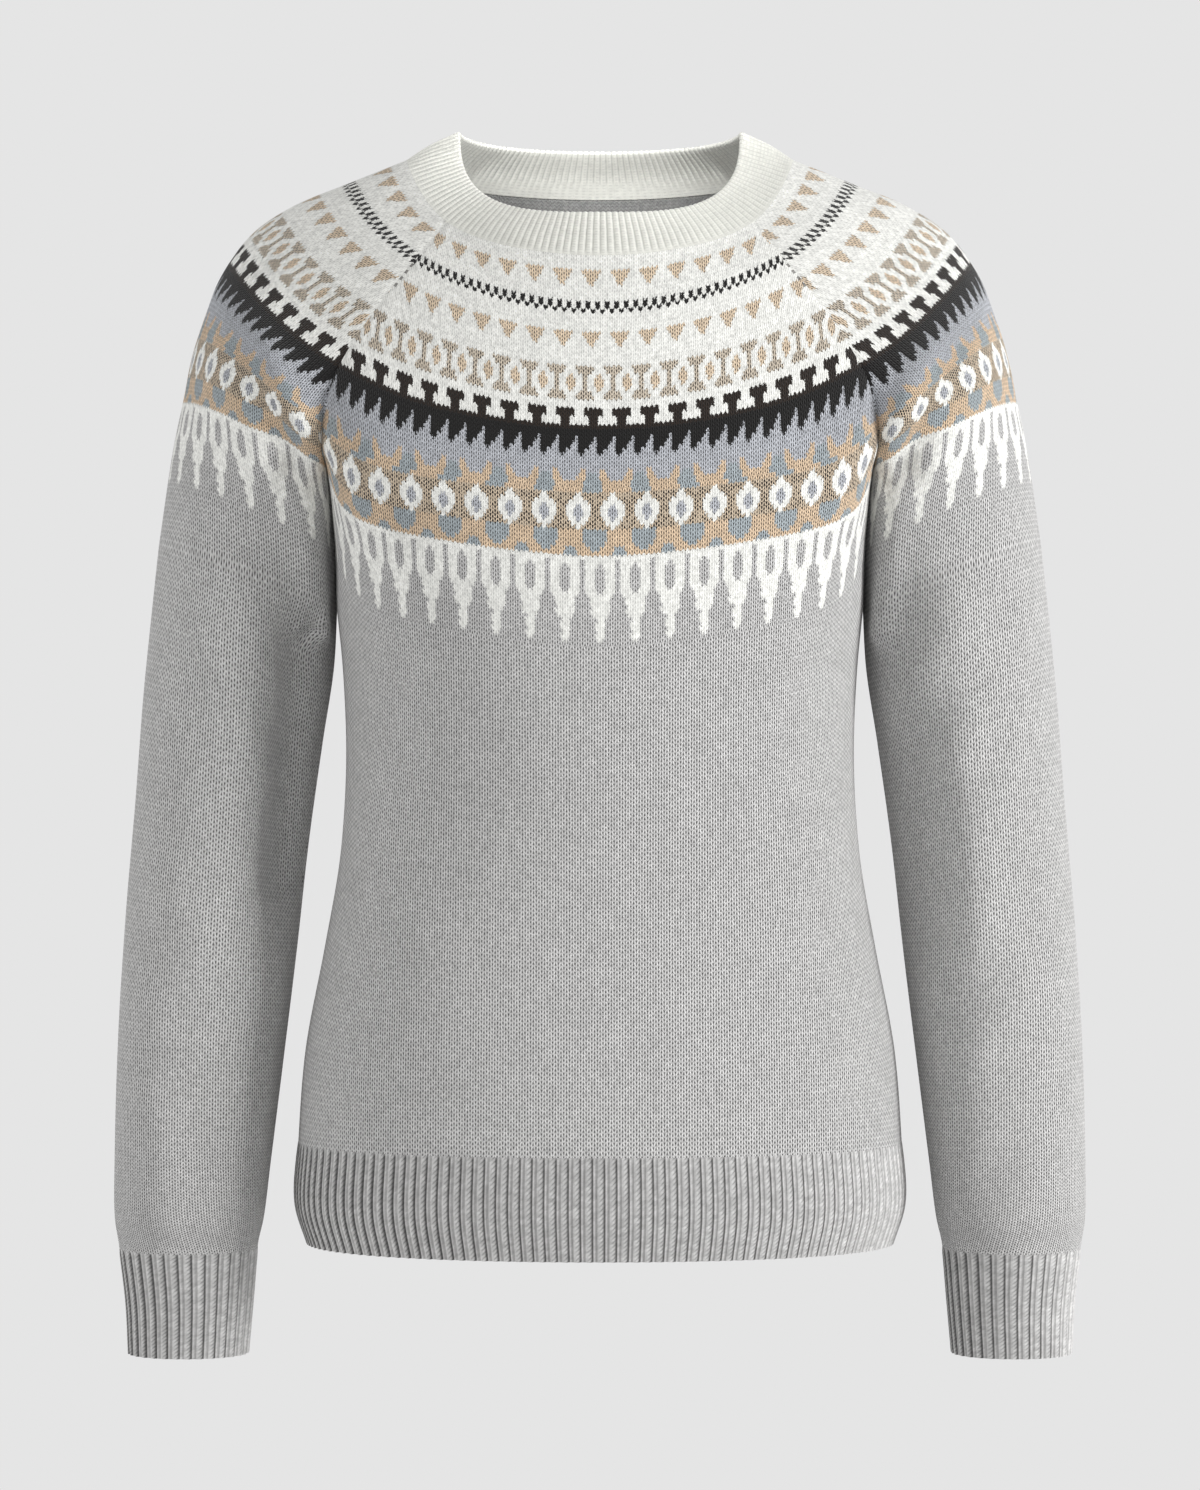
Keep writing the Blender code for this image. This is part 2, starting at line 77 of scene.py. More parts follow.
# %% The tables of rings, in millimetres
YOKE_NAMES = ("row", "side_x", "side_y", "side_z", "front_y", "front_z", "back_y", "back_z",
              "seam_x", "fold", "arm_deep", "even")
YOKE = np.array((
    (0, 108, -8, 1.5, -93.5, -60.5, 74, -10.5, 84, 0, 30, 0.47),
    (12, 142, -5, -11.8, -105, -91, 88, -37, 101, 0, 38, 0.72),
    (24, 172, -3, -24, -110.5, -116, 97, -61, 118, 0, 46, 0.74),
    (35, 195.5, -1, -40, -115, -140, 103, -84, 133, 0.03, 52, 0.74),
    (45, 212, 0, -63, -119, -161, 106, -105, 144, 0.22, 55, 0.78),
    (54, 220.5, 1, -84.5, -122, -179, 107.5, -124, 150, 0.52, 56.5, 0.8),
    (64, 228, 2, -108, -125.5, -199, 108, -145, 154, 0.82, 57, 0.8),
    (75, 233, 2, -132.5, -128, -222.5, 108, -168, 156, 0.98, 57, 0.8),
    (85, 237.5, 2, -153, -128.5, -245, 107.5, -189, 156, 1, 57, 0.8),
    (96, 241.5, 2, -177, -127.5, -269, 106, -212, 156, 1, 56.5, 0.8),
    (108, 246, 2, -208, -124, -297, 103, -238, 156, 1, 56, 0.8),
), float)

SEAM_NAMES = ("row", "x", "front_y", "front_z", "back_y", "back_z")
SEAM = np.array((
    (0, 94, -60, -42, 50, -8),
    (35, 136, -84, -106, 75, -68),
    (45, 145, -83, -126, 70, -90),
    (54, 149, -75, -143, 61, -112),
    (64, 150.5, -63, -157, 51, -133),
    (75, 149.5, -48, -172, 39, -157),
    (85, 148, -33, -191, 27, -181),
    (96, 147, -17, -215, 14, -212),
    (108, 147, 0, -246, 0, -246),
), float)

BODY_NAMES = ("row", "side_x", "side_y", "side_z", "front_y", "front_z", "back_y", "back_z")
BODY = np.array((
    (108, 147, 0, -246, -124, -297, 103, -238),
    (122, 143.4, 0, -285.6, -117, -330, 97, -278.7),
    (138, 141.7, -2, -331, -108, -367.5, 88, -325),
    (156, 144.4, -2, -382, -102.5, -410, 85, -377.5),
    (176, 154, 0, -438.5, -106, -457, 95, -435.7),
    (196, 164.5, 0, -495, -112, -503.7, 106, -493.6),
    (214, 168.5, 0, -546, -115, -546, 112, -546),
    (227, 170, 0, -581, -116, -581, 113, -581),
    (236, 163.5, 0, -602, -113.5, -602, 110, -602),
), float)

SLEEVE_NAMES = ("row", "inner_x", "inner_z", "outer_x", "outer_z", "mid_y", "deep")
SLEEVE = np.array((
    (108, 147, -246, 246, -208, 0, 56),
    (120, 148.8, -278, 250, -242, 3, 53.5),
    (137, 155.6, -322, 255.5, -293, 6, 50.5),
    (159, 163.4, -377, 260.6, -356, 8, 49),
    (184, 170, -438, 266, -423, 5, 47),
    (210, 177.1, -500, 269.4, -491, -2, 44.5),
    (236, 183.5, -556, 270.2, -553, -12, 42),
    (255, 187.2, -588, 269.6, -587, -17, 40),
    (268, 190.5, -604, 266.8, -604, -19, 37.5),
    (281, 193, -633, 263.2, -633, -20, 33),
    (295, 195.5, -662, 261.6, -662, -21, 31),
), float)

COLLAR_NAMES = ("up", "side_x", "side_y", "side_z", "front_y", "front_z", "back_y", "back_z", "even")
COLLAR = np.array((
    (0, 108, -8, 1.5, -93.5, -60.5, 74, -10.5, 0.47),
    (0.5, 95.5, -8.5, 9.5, -88, -48.5, 69.5, 2.5, 0.44),
    (1, 79.5, -9, 17, -80.5, -36, 62, 14.5, 0.42),
), float)
print(len(YOKE) + len(BODY) + len(SLEEVE) + len(COLLAR), "rings are given")

# %% Curves through the tables
UNDERARM, HEM_SEAM, HEM_EDGE, CUFF_SEAM, CUFF_EDGE = 108, 214, 236, 268, 295
STEPS = np.linspace(0, 1, 161)


def line_at(table, names, row):
    """The table's values at a row, by name, on a smooth curve through its lines."""
    rows = table[:, 0]
    i = int(np.clip(np.searchsorted(rows, row) - 1, 0, len(rows) - 2))
    wide = rows[i + 1] - rows[i]
    s = (row - rows[i]) / wide
    slope = np.gradient(table, rows, axis=0)
    values = ((1 + 2 * s) * (1 - s) ** 2 * table[i] + s * (1 - s) ** 2 * wide * slope[i]
              + s * s * (3 - 2 * s) * table[i + 1] + s * s * (s - 1) * wide * slope[i + 1])
    return dict(zip(names, values))


def lengths_along(curve):
    """How far along a curve each of its points is."""
    return np.concatenate(([0], np.cumsum(np.linalg.norm(np.diff(curve, axis=0), axis=1))))


def evenly(curve, shares):
    """The points at these shares of a curve's length."""
    along = lengths_along(curve)
    return np.stack([np.interp(shares, along / along[-1], curve[:, k]) for k in range(3)], axis=1)


print("a curve of", len(STEPS), "steps for each quarter of a ring")

# %% [markdown]
# ## Quarters of a ring
#
# High on the yoke a ring is one oval round the shoulders. Lower down it folds in at the armpits, until it
# parts into a body and two sleeves. So each quarter is worked out twice, as part of an oval and as a body
# or a sleeve, and the two are mixed by how far the ring has folded.


# %% Quarters of a ring
EARLY, LATE = (0.45, 1.6), (0.55, 14)  # a torso ring climbs in two shares, with these powers
TORSO_FLAT, ARM_FULL = 0.8, 0.9  # powers under 1: flatter and fuller than an oval
OVAL_LATE, CAP_LATE, COLLAR_LATE = 8, 1.3, 2.7  # the higher the power, the later a ring climbs
LARGEST_TURN = 0.97  # the seam stays this side of the widest place


def torso_arc(mid_y, mid_z, side):
    """From the middle of the front or back to a seam point, flat in the middle, round at the side."""
    across, deep = np.sin(STEPS * np.pi / 2), np.cos(STEPS * np.pi / 2)
    rise = EARLY[0] * across ** EARLY[1] + LATE[0] * across ** LATE[1]
    return np.stack((side[0] * across,
                     side[1] + (mid_y - side[1]) * deep ** TORSO_FLAT,
                     mid_z + (side[2] - mid_z) * rise), axis=1)


def arm_arc(inner, outer, deep, face, late=1.0):
    """Half of a sleeve ring: from its inner line over its front or back to its outer line."""
    near = (1 + np.cos(STEPS * np.pi)) / 2
    bulge = np.sin(STEPS * np.pi) ** ARM_FULL
    return np.stack((outer[0] + (inner[0] - outer[0]) * near,
                     outer[1] + (inner[1] - outer[1]) * near + face * deep * bulge,
                     outer[2] + (inner[2] - outer[2]) * near ** late), axis=1)


def oval_arc(ring, face, start, stop):
    """Part of a ring that hasn't folded, between two angles from its middle."""
    angle = start + (stop - start) * STEPS
    mid_y, mid_z = (ring["front_y"], ring["front_z"]) if face < 0 else (ring["back_y"], ring["back_z"])
    across = np.sin(angle)
    rise = ring["even"] * across ** 2 + (1 - ring["even"]) * across ** OVAL_LATE
    return np.stack((ring["side_x"] * across,
                     ring["side_y"] + (mid_y - ring["side_y"]) * np.cos(angle),
                     mid_z + (ring["side_z"] - mid_z) * rise), axis=1)


def yoke_arcs(row, face):
    """A quarter of a yoke ring, on one face: from its middle to the raglan seam, and on to the side."""
    ring, seam = line_at(YOKE, YOKE_NAMES, row), line_at(SEAM, SEAM_NAMES, row)
    at = "front" if face < 0 else "back"
    corner = np.array((seam["x"], seam[at + "_y"], seam[at + "_z"]))
    outer = np.array((ring["side_x"], ring["side_y"], ring["side_z"]))
    turn = np.arcsin(min(ring["seam_x"] / ring["side_x"], LARGEST_TURN))
    fold = float(np.clip(ring["fold"], 0, 1))
    torso = ((1 - fold) * oval_arc(ring, face, 0, turn)
             + fold * torso_arc(ring[at + "_y"], ring[at + "_z"], corner))
    arm = ((1 - fold) * oval_arc(ring, face, turn, np.pi / 2)
           + fold * arm_arc(corner, outer, ring["arm_deep"], face, CAP_LATE))
    return torso, arm


def body_arc(row, face):
    """A quarter of a body ring, from the middle of its front or back to its side."""
    ring = line_at(BODY, BODY_NAMES, row)
    at = "front" if face < 0 else "back"
    side = np.array((ring["side_x"], ring["side_y"], ring["side_z"]))
    return torso_arc(ring[at + "_y"], ring[at + "_z"], side)


def sleeve_arc(row, face):
    """Half of a sleeve ring, over its front or back."""
    ring = line_at(SLEEVE, SLEEVE_NAMES, row)
    inner = np.array((ring["inner_x"], ring["mid_y"], ring["inner_z"]))
    outer = np.array((ring["outer_x"], ring["mid_y"], ring["outer_z"]))
    return arm_arc(inner, outer, ring["deep"], face)


def collar_arc(up, face):
    """A quarter of a ring of the neck rib. Its front rises ever more steeply towards the shoulder."""
    ring = line_at(COLLAR, COLLAR_NAMES, up)
    arc = oval_arc(ring, face, 0, np.pi / 2)
    if face < 0:
        steep = ring["front_z"] + (ring["side_z"] - ring["front_z"]) * STEPS ** COLLAR_LATE
        arc[:, 2] = (1 - up) * arc[:, 2] + up * steep
    return arc


def whole_ring(front, back):
    """A closed ring from its two right quarters: centre front, right side, back, left side."""
    right = np.concatenate((front, back[-2::-1]))
    return np.concatenate((right, right[-2:0:-1] * (-1, 1, 1), right[:1]))


print("armpit ring:", np.round(yoke_arcs(UNDERARM, -1)[0][-1]), "mm is where the seams meet")

# %% [markdown]
# ## The fine grids
#
# Each row of a piece becomes a line of points, closer together beside the seams, where the cloth turns in.
# Beside each point two numbers are kept for the yarn: how far it lies across the cloth from the middle of
# its piece, measured along the knitting, and its row. The stitches are drawn from those two.

# %% Points of the body and the sleeve, on the right of the front view
YOKE_ROWS = np.arange(0, UNDERARM + 0.1, 1.0)
BODY_ROWS = np.arange(UNDERARM + 2, HEM_SEAM + 0.1, 2.0)
SLEEVE_ROWS = np.arange(UNDERARM + 2, CUFF_SEAM + 0.1, 2.0)
NEAR_SEAM = np.array((0.979, 0.987, 0.993, 0.997, 1))
FRONT_COLUMNS = np.concatenate((np.linspace(0, 0.97, 72), NEAR_SEAM))
ARM_COLUMNS = np.concatenate((1 - NEAR_SEAM[::-1], np.linspace(0.035, 1, 48)))


def measured(curve, shares, from_end):
    """Points at these shares of a curve, each with its distance from one of the curve's ends."""
    points, long = evenly(curve, shares), lengths_along(curve)[-1]
    across = -(1 - shares) * long if from_end else shares * long
    return np.concatenate((points, across[:, None]), axis=1)


def torso_grid(face):
    """Half of the front or back, in the order of the ring: front from its middle, back to its middle."""
    curves = [yoke_arcs(row, face)[0] for row in YOKE_ROWS] + [body_arc(row, face) for row in BODY_ROWS]
    grid = np.array([measured(curve, FRONT_COLUMNS, False) for curve in curves])
    return grid if face < 0 else grid[:, ::-1]


def sleeve_grid():
    """A sleeve, as rows of points from the front raglan seam round to the back one."""
    pairs = [(yoke_arcs(row, -1)[1], yoke_arcs(row, 1)[1]) for row in YOKE_ROWS]
    pairs += [(sleeve_arc(row, -1), sleeve_arc(row, 1)) for row in SLEEVE_ROWS]
    rows = []
    for front, back in pairs:
        front, back = measured(front, ARM_COLUMNS, True), measured(back, ARM_COLUMNS, True)
        back[:, 3] *= -1
        rows.append(np.concatenate((front, back[-2::-1])))
    return np.array(rows)


# The bands are a little deeper below the pegs: places in the grid, and the knitted rows that lie there.
GRID_PLACES, KNITTED_ROWS = (0, 12, 30, 37.5, 76.1, 97.4, 300), (-2, 12, 30, 37, 73, 94.4, 297)

front_half, sleeve_whole, back_half = torso_grid(-1), sleeve_grid(), torso_grid(1)
print("front", front_half.shape, "sleeve", sleeve_whole.shape, "back", back_half.shape)

# %% [markdown]
# ## Which way the cloth faces
#
# Folds are raised at right angles to the cloth. Where two pieces meet at a seam, both must agree on that
# direction, or a fold would pull the seam open. So each piece looks one column past its own edge, at its
# neighbour or at its own mirror image. At the underarm, where four seams meet, the cloth faces down.

# %% Directions of the cloth
TOP = len(YOKE_ROWS)
MIRROR = np.array((-1.0, 1, 1))


def unit(v):
    """These vectors, each one long."""
    return v / np.maximum(np.linalg.norm(v, axis=-1, keepdims=True), 1e-9)


def facing(grid, before, after):
    """Outward directions of a grid, with a column of its neighbours before it and one after it."""
    step = unit(np.diff(np.concatenate((before[:, None], grid, after[:, None]), axis=1), axis=1))
    return unit(np.cross(np.gradient(grid, axis=0), step[:, :-1] + step[:, 1:]))


def all_facings(front, sleeve, back):
    """The directions of the three grids, the same on both sides of every seam."""
    f_side = np.concatenate((sleeve[:TOP, 1], back[TOP:, 1]))
    b_side = np.concatenate((sleeve[:TOP, -2], front[TOP:, -2]))
    s_front = np.concatenate((front[:TOP, -2], sleeve[TOP:, -2]))
    s_back = np.concatenate((back[:TOP, 1], sleeve[TOP:, 1]))
    found = [facing(front, front[:, 1] * MIRROR, f_side), facing(sleeve, s_front, s_back),
             facing(back, b_side, back[:, -2] * MIRROR)]
    f, s, b = found
    for one, other in ((f[:TOP, -1], s[:TOP, 0]), (b[:TOP, 0], s[:TOP, -1]),
                       (f[TOP:, -1], b[TOP:, 0]), (s[TOP:, 0], s[TOP:, -1])):
        shared = unit(one + other)
        one[:], other[:] = shared, shared
    for each, column in ((f, -1), (s, 0), (s, -1), (b, 0)):
        each[TOP - 1, column] = (0, 0, -1)
    return found


flat_grids = [front_half[..., :3], sleeve_whole[..., :3], back_half[..., :3]]
flat_facings = all_facings(*flat_grids)
print("the middle of the chest faces", np.round(flat_facings[0][60, 0], 2))

# %% [markdown]
# ## Soft folds and seams
#
# Knitted cloth has few sharp creases. It hangs in long soft folds: a hollow from the shoulder into the
# armpit, ridges that run slantwise down the sleeves, and slack at the side of the waist. Each fold is a
# line on the front or the back with a width and a height. Most lie on both sides of the sweater, and each
# sleeve has a few more of its own, because no two sleeves hang alike. The seams are drawn in a little,
# because the sewing pulls the two edges together.

# %% Folds: which face, from x, z to x, z, how wide, how high at each end, in millimetres
FOLD_NAMES = ("face", "x0", "z0", "x1", "z1", "wide", "high0", "high1")
FOLDS = (
    (-1, 202, -98, 166, -174, 9, -1, -7),
    (-1, 187, -92, 152, -164, 9, 1, 4),
    (-1, 216, -110, 180, -168, 15, 1, 4),
    (-1, 150, -120, 132, -190, 16, 0, 3),
    (-1, 214, -225, 176, -290, 16, 1, 3),
    (-1, 163, -180, 156, -262, 8, 2, 7),
    (-1, 164, -290, 177, -430, 15, 0, -3),
    (-1, 196, -255, 208, -430, 16, 2, 2),
    (-1, 232, -300, 206, -420, 18, 2, 2),
    (-1, 250, -470, 238, -585, 15, 2, 1),
    (-1, 136, -262, 108, -330, 18, -2, -1),
    (-1, 128, -370, 96, -440, 24, 2, 1),
    (1, 190, -92, 160, -150, 15, -1, -4),
    (1, 214, -240, 182, -320, 18, 3, 2),
    (1, 196, -330, 226, -420, 16, -3, -2),
    (1, 240, -430, 214, -540, 18, 2, 2),
    (1, 134, -262, 96, -340, 20, -3, -1),
    (1, 120, -360, 70, -420, 26, 3, 2),
)
LEFT_FOLDS = (
    (-1, 162, -262, 174, -400, 14, -15, -10),
    (-1, 186, -450, 197, -540, 14, 2, 2),
    (-1, 218, -262, 186, -350, 13, 3, 2),
    (-1, 240, -400, 205, -470, 15, 2, 3),
    (-1, 246, -500, 210, -548, 13, -2, -2),
)
RIGHT_FOLDS = (
    (-1, 236, -250, 196, -330, 14, 2, 3),
    (-1, 178, -330, 190, -420, 13, -3, -2),
    (-1, 236, -452, 204, -505, 14, 2, 2),
    (-1, 248, -520, 214, -560, 12, -2, -2),
)


def folded(grid, directions, folds):
    """The grid with these soft folds raised along its directions."""
    moved = np.zeros(grid.shape[:2])
    for fold in folds:
        f = dict(zip(FOLD_NAMES, fold))
        start, way = np.array((f["x0"], f["z0"])), np.array((f["x1"] - f["x0"], f["z1"] - f["z0"]))
        at = grid[..., (0, 2)] - start
        near = np.clip((at @ way) / (way @ way), 0, 1)
        apart = np.linalg.norm(at - near[..., None] * way, axis=-1)
        facing_it = np.clip(2 * f["face"] * directions[..., 1], 0, 1)
        high = f["high0"] + (f["high1"] - f["high0"]) * near
        moved += high * np.exp(-(apart / f["wide"]) ** 2) * facing_it
    return grid + moved[..., None] * directions


grids = [folded(grid, directions, FOLDS) for grid, directions in zip(flat_grids, flat_facings)]
facings = all_facings(*grids)
left_grid, right_grid = (folded(grids[1], facings[1], folds) for folds in (LEFT_FOLDS, RIGHT_FOLDS))
print(len(FOLDS), "folds on both sides,", len(LEFT_FOLDS), "on the left sleeve alone and",
      len(RIGHT_FOLDS), "on the right one")

# %% Seams drawn in
SEAM_DIP, SEAM_WIDE = 0.6, 2.0  # millimetres


def seam_drawn_in(grid, directions, seams):
    """The grid with its edges drawn in beside a seam: seams lists the columns and the rows of each."""
    moved = np.zeros(grid.shape[:2])
    for column, rows in seams:
        apart = np.linalg.norm(grid[rows] - grid[rows, column][:, None], axis=-1)
        moved[rows] = np.maximum(moved[rows], SEAM_DIP * np.exp(-(apart / SEAM_WIDE) ** 2))
    return grid - moved[..., None] * directions


every = slice(None)
front_half_mm = seam_drawn_in(grids[0], facings[0], ((-1, every),))
left_mm, right_mm = (seam_drawn_in(grid, facings[1], ((0, every), (-1, every)))
                     for grid in (left_grid, right_grid))
back_half_mm = seam_drawn_in(grids[2], facings[2], ((0, every),))
print("seams are drawn in by", SEAM_DIP, "mm")

# %% [markdown]
# ## Cloth from a flat grid
#
# Each piece starts as Blender's own flat grid, which has its faces and its texture coordinates ready. Its
# points are then moved to their places on the sweater, the two edges of a tube are merged, and Solidify
# gives the cloth its thickness on the inside, with a second material for the reverse of the knitting.

# %% Making one piece of cloth
ACROSS_SPAN, ROW_SPAN = 600.0, 300.0  # millimetres and rows that a whole texture square stands for
MERGE_WITHIN = 0.00001  # metres
SMOOTH_BELOW = math.radians(72)  # edges that turn more stay sharp, as at the rim


def cloth(name, points, across, rows, wall):
    """A piece of cloth from a grid of points in millimetres, with its column and row at each point."""
    high, wide = points.shape[:2]
    bpy.ops.object.select_all(action="DESELECT")
    bpy.ops.mesh.primitive_grid_add(x_subdivisions=wide - 1, y_subdivisions=high - 1, size=1)
    piece = bpy.context.object
    piece.name = piece.data.name = name
    mesh = piece.data
    flat = np.empty(len(mesh.vertices) * 3)
    mesh.vertices.foreach_get("co", flat)
    flat = flat.reshape(-1, 3)
    column = np.rint((flat[:, 0] + 0.5) * (wide - 1)).astype(int)
    line = np.rint((0.5 - flat[:, 1]) * (high - 1)).astype(int)
    mesh.vertices.foreach_set("co", (points[line, column] * MM).ravel())
    corner = np.empty(len(mesh.loops), dtype=np.int32)
    mesh.loops.foreach_get("vertex_index", corner)
    square = np.stack((0.5 + across[line, column] / ACROSS_SPAN, 1 - rows[line] / ROW_SPAN), axis=1)
    mesh.uv_layers.active.data.foreach_set("uv", square[corner].astype(np.float32).ravel())
    mesh.uv_layers.active.name = "UVMap"
    mesh.update()
    bpy.ops.object.mode_set(mode="EDIT")
    bpy.ops.mesh.select_all(action="SELECT")
    bpy.ops.mesh.remove_doubles(threshold=MERGE_WITHIN)
    bpy.ops.object.mode_set(mode="OBJECT")
    if wall:
        for _ in ("outside", "inside"):
            mesh.materials.append(None)
        thick = piece.modifiers.new("wall", "SOLIDIFY")
        thick.thickness, thick.offset = wall * MM, -1
        thick.material_offset, thick.material_offset_rim = 1, 0
        bpy.ops.object.modifier_apply(modifier="wall")
    bpy.ops.object.shade_smooth_by_angle(angle=SMOOTH_BELOW)
    print(name, len(piece.data.polygons), "faces")
    return piece


# %% Front, back and sleeves
WALL = 2.3  # millimetres of plain knit


def both_halves(half, across):
    """A whole panel, from the half whose middle comes first."""
    return (np.concatenate((half[:, :0:-1] * MIRROR, half), axis=1),
            np.concatenate((-across[:, :0:-1], across), axis=1))


torso_rows = np.interp(np.concatenate((YOKE_ROWS, BODY_ROWS)), GRID_PLACES, KNITTED_ROWS)
arm_rows = np.interp(np.concatenate((YOKE_ROWS, SLEEVE_ROWS)), GRID_PLACES, KNITTED_ROWS)
points, across = both_halves(front_half_mm, front_half[..., 3])
front_knit_piece = cloth("knitted_front", points, across, torso_rows, WALL)
points, across = both_halves(back_half_mm[:, ::-1], back_half[:, ::-1, 3])
back_knit_piece = cloth("knitted_back", points[:, ::-1], -across[:, ::-1], torso_rows, WALL)
right_sleeve = cloth("knitted_sleeve_right", right_mm, sleeve_whole[..., 3], arm_rows, WALL)
left_sleeve = cloth("knitted_sleeve_left", left_mm[:, ::-1] * MIRROR, -sleeve_whole[:, ::-1, 3],
                    arm_rows, WALL)

# %% [markdown]
# ## The ribs
#
# A rib is knitted with raised stitches and sunk ones by turns, so the cloth draws together like an
# accordion. The ribs are real ridges here, because they show against the light at every edge. The hem and
# the cuffs have a wide rib of two stitches and a narrow one between, and the collar has narrow ribs only.
# Each rib is a few columns of points, pushed out and in by one profile that repeats. The light and shade
# across each rib are also painted into the yarn's colour.

# %% Rib profiles and directions
COLLAR_RIBS, HEM_RIBS, CUFF_RIBS = 156, 71, 31
POINTS_A_RIB = 8
RIB_WALL, COLLAR_THICK = 1.5, 2.6  # millimetres
RIB_SHIFT = 0.27
RIB_PLACES = (0, 0.06, 0.2, 0.42, 0.54, 0.62, 0.72, 0.84, 1)
RIB_HEIGHTS = (-0.35, 0.2, 0.55, 0.55, 0.2, -0.7, -0.1, -0.35, -0.35)
FINE_HEIGHT, FINE_ROUND = 0.55, 0.8
WIDE_TURN, FINE_TURN = 3.0, 2.0  # how much of the texture square a rib takes, in millimetres


def rib_turns(ribs):
    """The place of each column of points, counted in ribs."""
    return np.linspace(0, ribs, POINTS_A_RIB * ribs + 1)


def ring_directions(rings, closed):
    """Outward directions of a stack of rings, the first at the top. A closed ring ends where it starts."""
    if not closed:
        return unit(np.cross(np.gradient(rings, axis=0), np.gradient(rings, axis=1)))
    rings = rings[:, :-1]
    step = np.roll(rings, -1, axis=1) - np.roll(rings, 1, axis=1)
    out = unit(np.cross(np.gradient(rings, axis=0), step))
    return np.concatenate((out, out[:, :1]), axis=1)


def narrow_ribs(turns):
    """How far out the collar stands, in millimetres, at these turns of its rib."""
    return FINE_HEIGHT * (np.abs(np.sin(np.pi * turns)) ** FINE_ROUND - 0.5)


def wide_ribs(turns):
    """How far out the hem and cuffs stand, in millimetres: a wide rib and a narrow one in each turn."""
    return np.interp((turns - RIB_SHIFT) % 1.0, RIB_PLACES, RIB_HEIGHTS)


print("heights along a wide rib:", np.round(wide_ribs(rib_turns(1)), 2))

# %% Hem and cuffs
LAST_ROW = 0.6  # from the last but one ring to the edge
HEM_LEVELS, CUFF_LEVELS = (np.concatenate((np.linspace(seam, edge - LAST_ROW, 16), (edge,)))
                           for seam, edge in ((HEM_SEAM, HEM_EDGE), (CUFF_SEAM, CUFF_EDGE)))
GROW_ROWS, GROW_FROM = 2.0, 0.25  # ribs grow out of the seam over these rows, from this share


def rib_band(name, rings, directions, turns, levels):
    """A band of ribs on a stack of rings. Turns counts the ribs along the columns."""
    grown = np.clip((levels - levels[0]) / GROW_ROWS, GROW_FROM, 1)[:, None]
    points = rings + (wide_ribs(turns)[None] * grown)[..., None] * directions
    across = np.repeat(turns[None] * WIDE_TURN, len(levels), axis=0)
    return cloth(name, points, across - across.mean(), levels, RIB_WALL)


def hem_half(name, face):
    """Half of the hem rib, from one side seam to the other as seen from outside."""
    turns = rib_turns(HEM_RIBS)
    rings = []
    for row in HEM_LEVELS:
        arc = body_arc(row, face)
        whole = np.concatenate((arc[:0:-1] * MIRROR, arc))
        rings.append(evenly(whole if face < 0 else whole[::-1], turns / HEM_RIBS))
    rings = np.array(rings)
    return rib_band(name, rings, ring_directions(rings, False), turns, HEM_LEVELS)


def cuff_tube(name, side):
    """The rib at the end of a sleeve, merged to a tube, mirrored for the left side."""
    turns = rib_turns(CUFF_RIBS)
    rings = np.array([evenly(np.concatenate((sleeve_arc(row, -1), sleeve_arc(row, 1)[-2::-1])),
                             turns / CUFF_RIBS) for row in CUFF_LEVELS])
    directions = ring_directions(rings, True)
    if side < 0:
        rings, directions = (rings * MIRROR)[:, ::-1], (directions * MIRROR)[:, ::-1]
    return rib_band(name, rings, directions, turns, CUFF_LEVELS)


front_hem, back_hem = hem_half("ribbed_hem_front", -1), hem_half("ribbed_hem_back", 1)
right_cuff, left_cuff = cuff_tube("ribbed_cuff_right", 1), cuff_tube("ribbed_cuff_left", -1)

# %% [markdown]
# The collar is a strip of rib that is folded over and sewn down on the inside, so it is nearly twice as
# thick as the other ribs and has a round edge at the top. Its section goes up the outside, over the fold,
# and down the inside, and the last row is merged with the first.

# %% Collar
COLLAR_UPS = np.linspace(0, 1, 15)
WALL_ROWS, FOLD_ROWS = 1.15, 0.4  # knitted rows from ring to ring
FLAT_AT_SEAM = 0.1  # the share of a rib's height that is left at a seam
GROW_EACH, SEWN_RINGS = 0.45, 4  # how fast ribs grow outside; rings that lie flat inside


def collar_levels():
    """The rings round the collar's section, their knitted rows, and the turns of the ribs along them."""
    turns = rib_turns(COLLAR_RIBS)
    rings = np.array([evenly(whole_ring(collar_arc(up, -1), collar_arc(up, 1)), turns / COLLAR_RIBS)
                      for up in COLLAR_UPS])
    out = -ring_directions(rings, True)
    up = unit(rings[-1] - rings[-2])
    ribs = narrow_ribs(turns)[:, None]
    levels, rows = [], []
    for i, ring in enumerate(rings):
        levels.append(ring + ribs * out[i] * min(FLAT_AT_SEAM + GROW_EACH * i, 1))
        rows.append(i * WALL_ROWS)
    middle = rings[-1] - out[-1] * COLLAR_THICK / 2
    for turn in (0.2, 0.4, 0.6, 0.8):
        side, rise = math.cos(math.pi * turn), math.sin(math.pi * turn)
        away = out[-1] * side + up * rise
        levels.append(middle + away * (COLLAR_THICK / 2 + ribs))
        rows.append(rows[-1] + FOLD_ROWS)
    for i in range(len(rings) - 1, -1, -1):
        share = FLAT_AT_SEAM if i < SEWN_RINGS else 1
        levels.append(rings[i] - out[i] * (COLLAR_THICK + ribs * share))
        rows.append(rows[-1] + WALL_ROWS)
    levels.append(levels[0])
    rows.append(rows[-1] + WALL_ROWS)
    return np.array(levels)[::-1], np.array(rows)[::-1], turns


collar_points, collar_rows, collar_turns = collar_levels()
collar_across = np.repeat(collar_turns[None] * FINE_TURN, len(collar_rows), axis=0)
collar_across -= collar_across.mean()
collar_piece = cloth("ribbed_collar", collar_points, collar_across, collar_rows, 0)

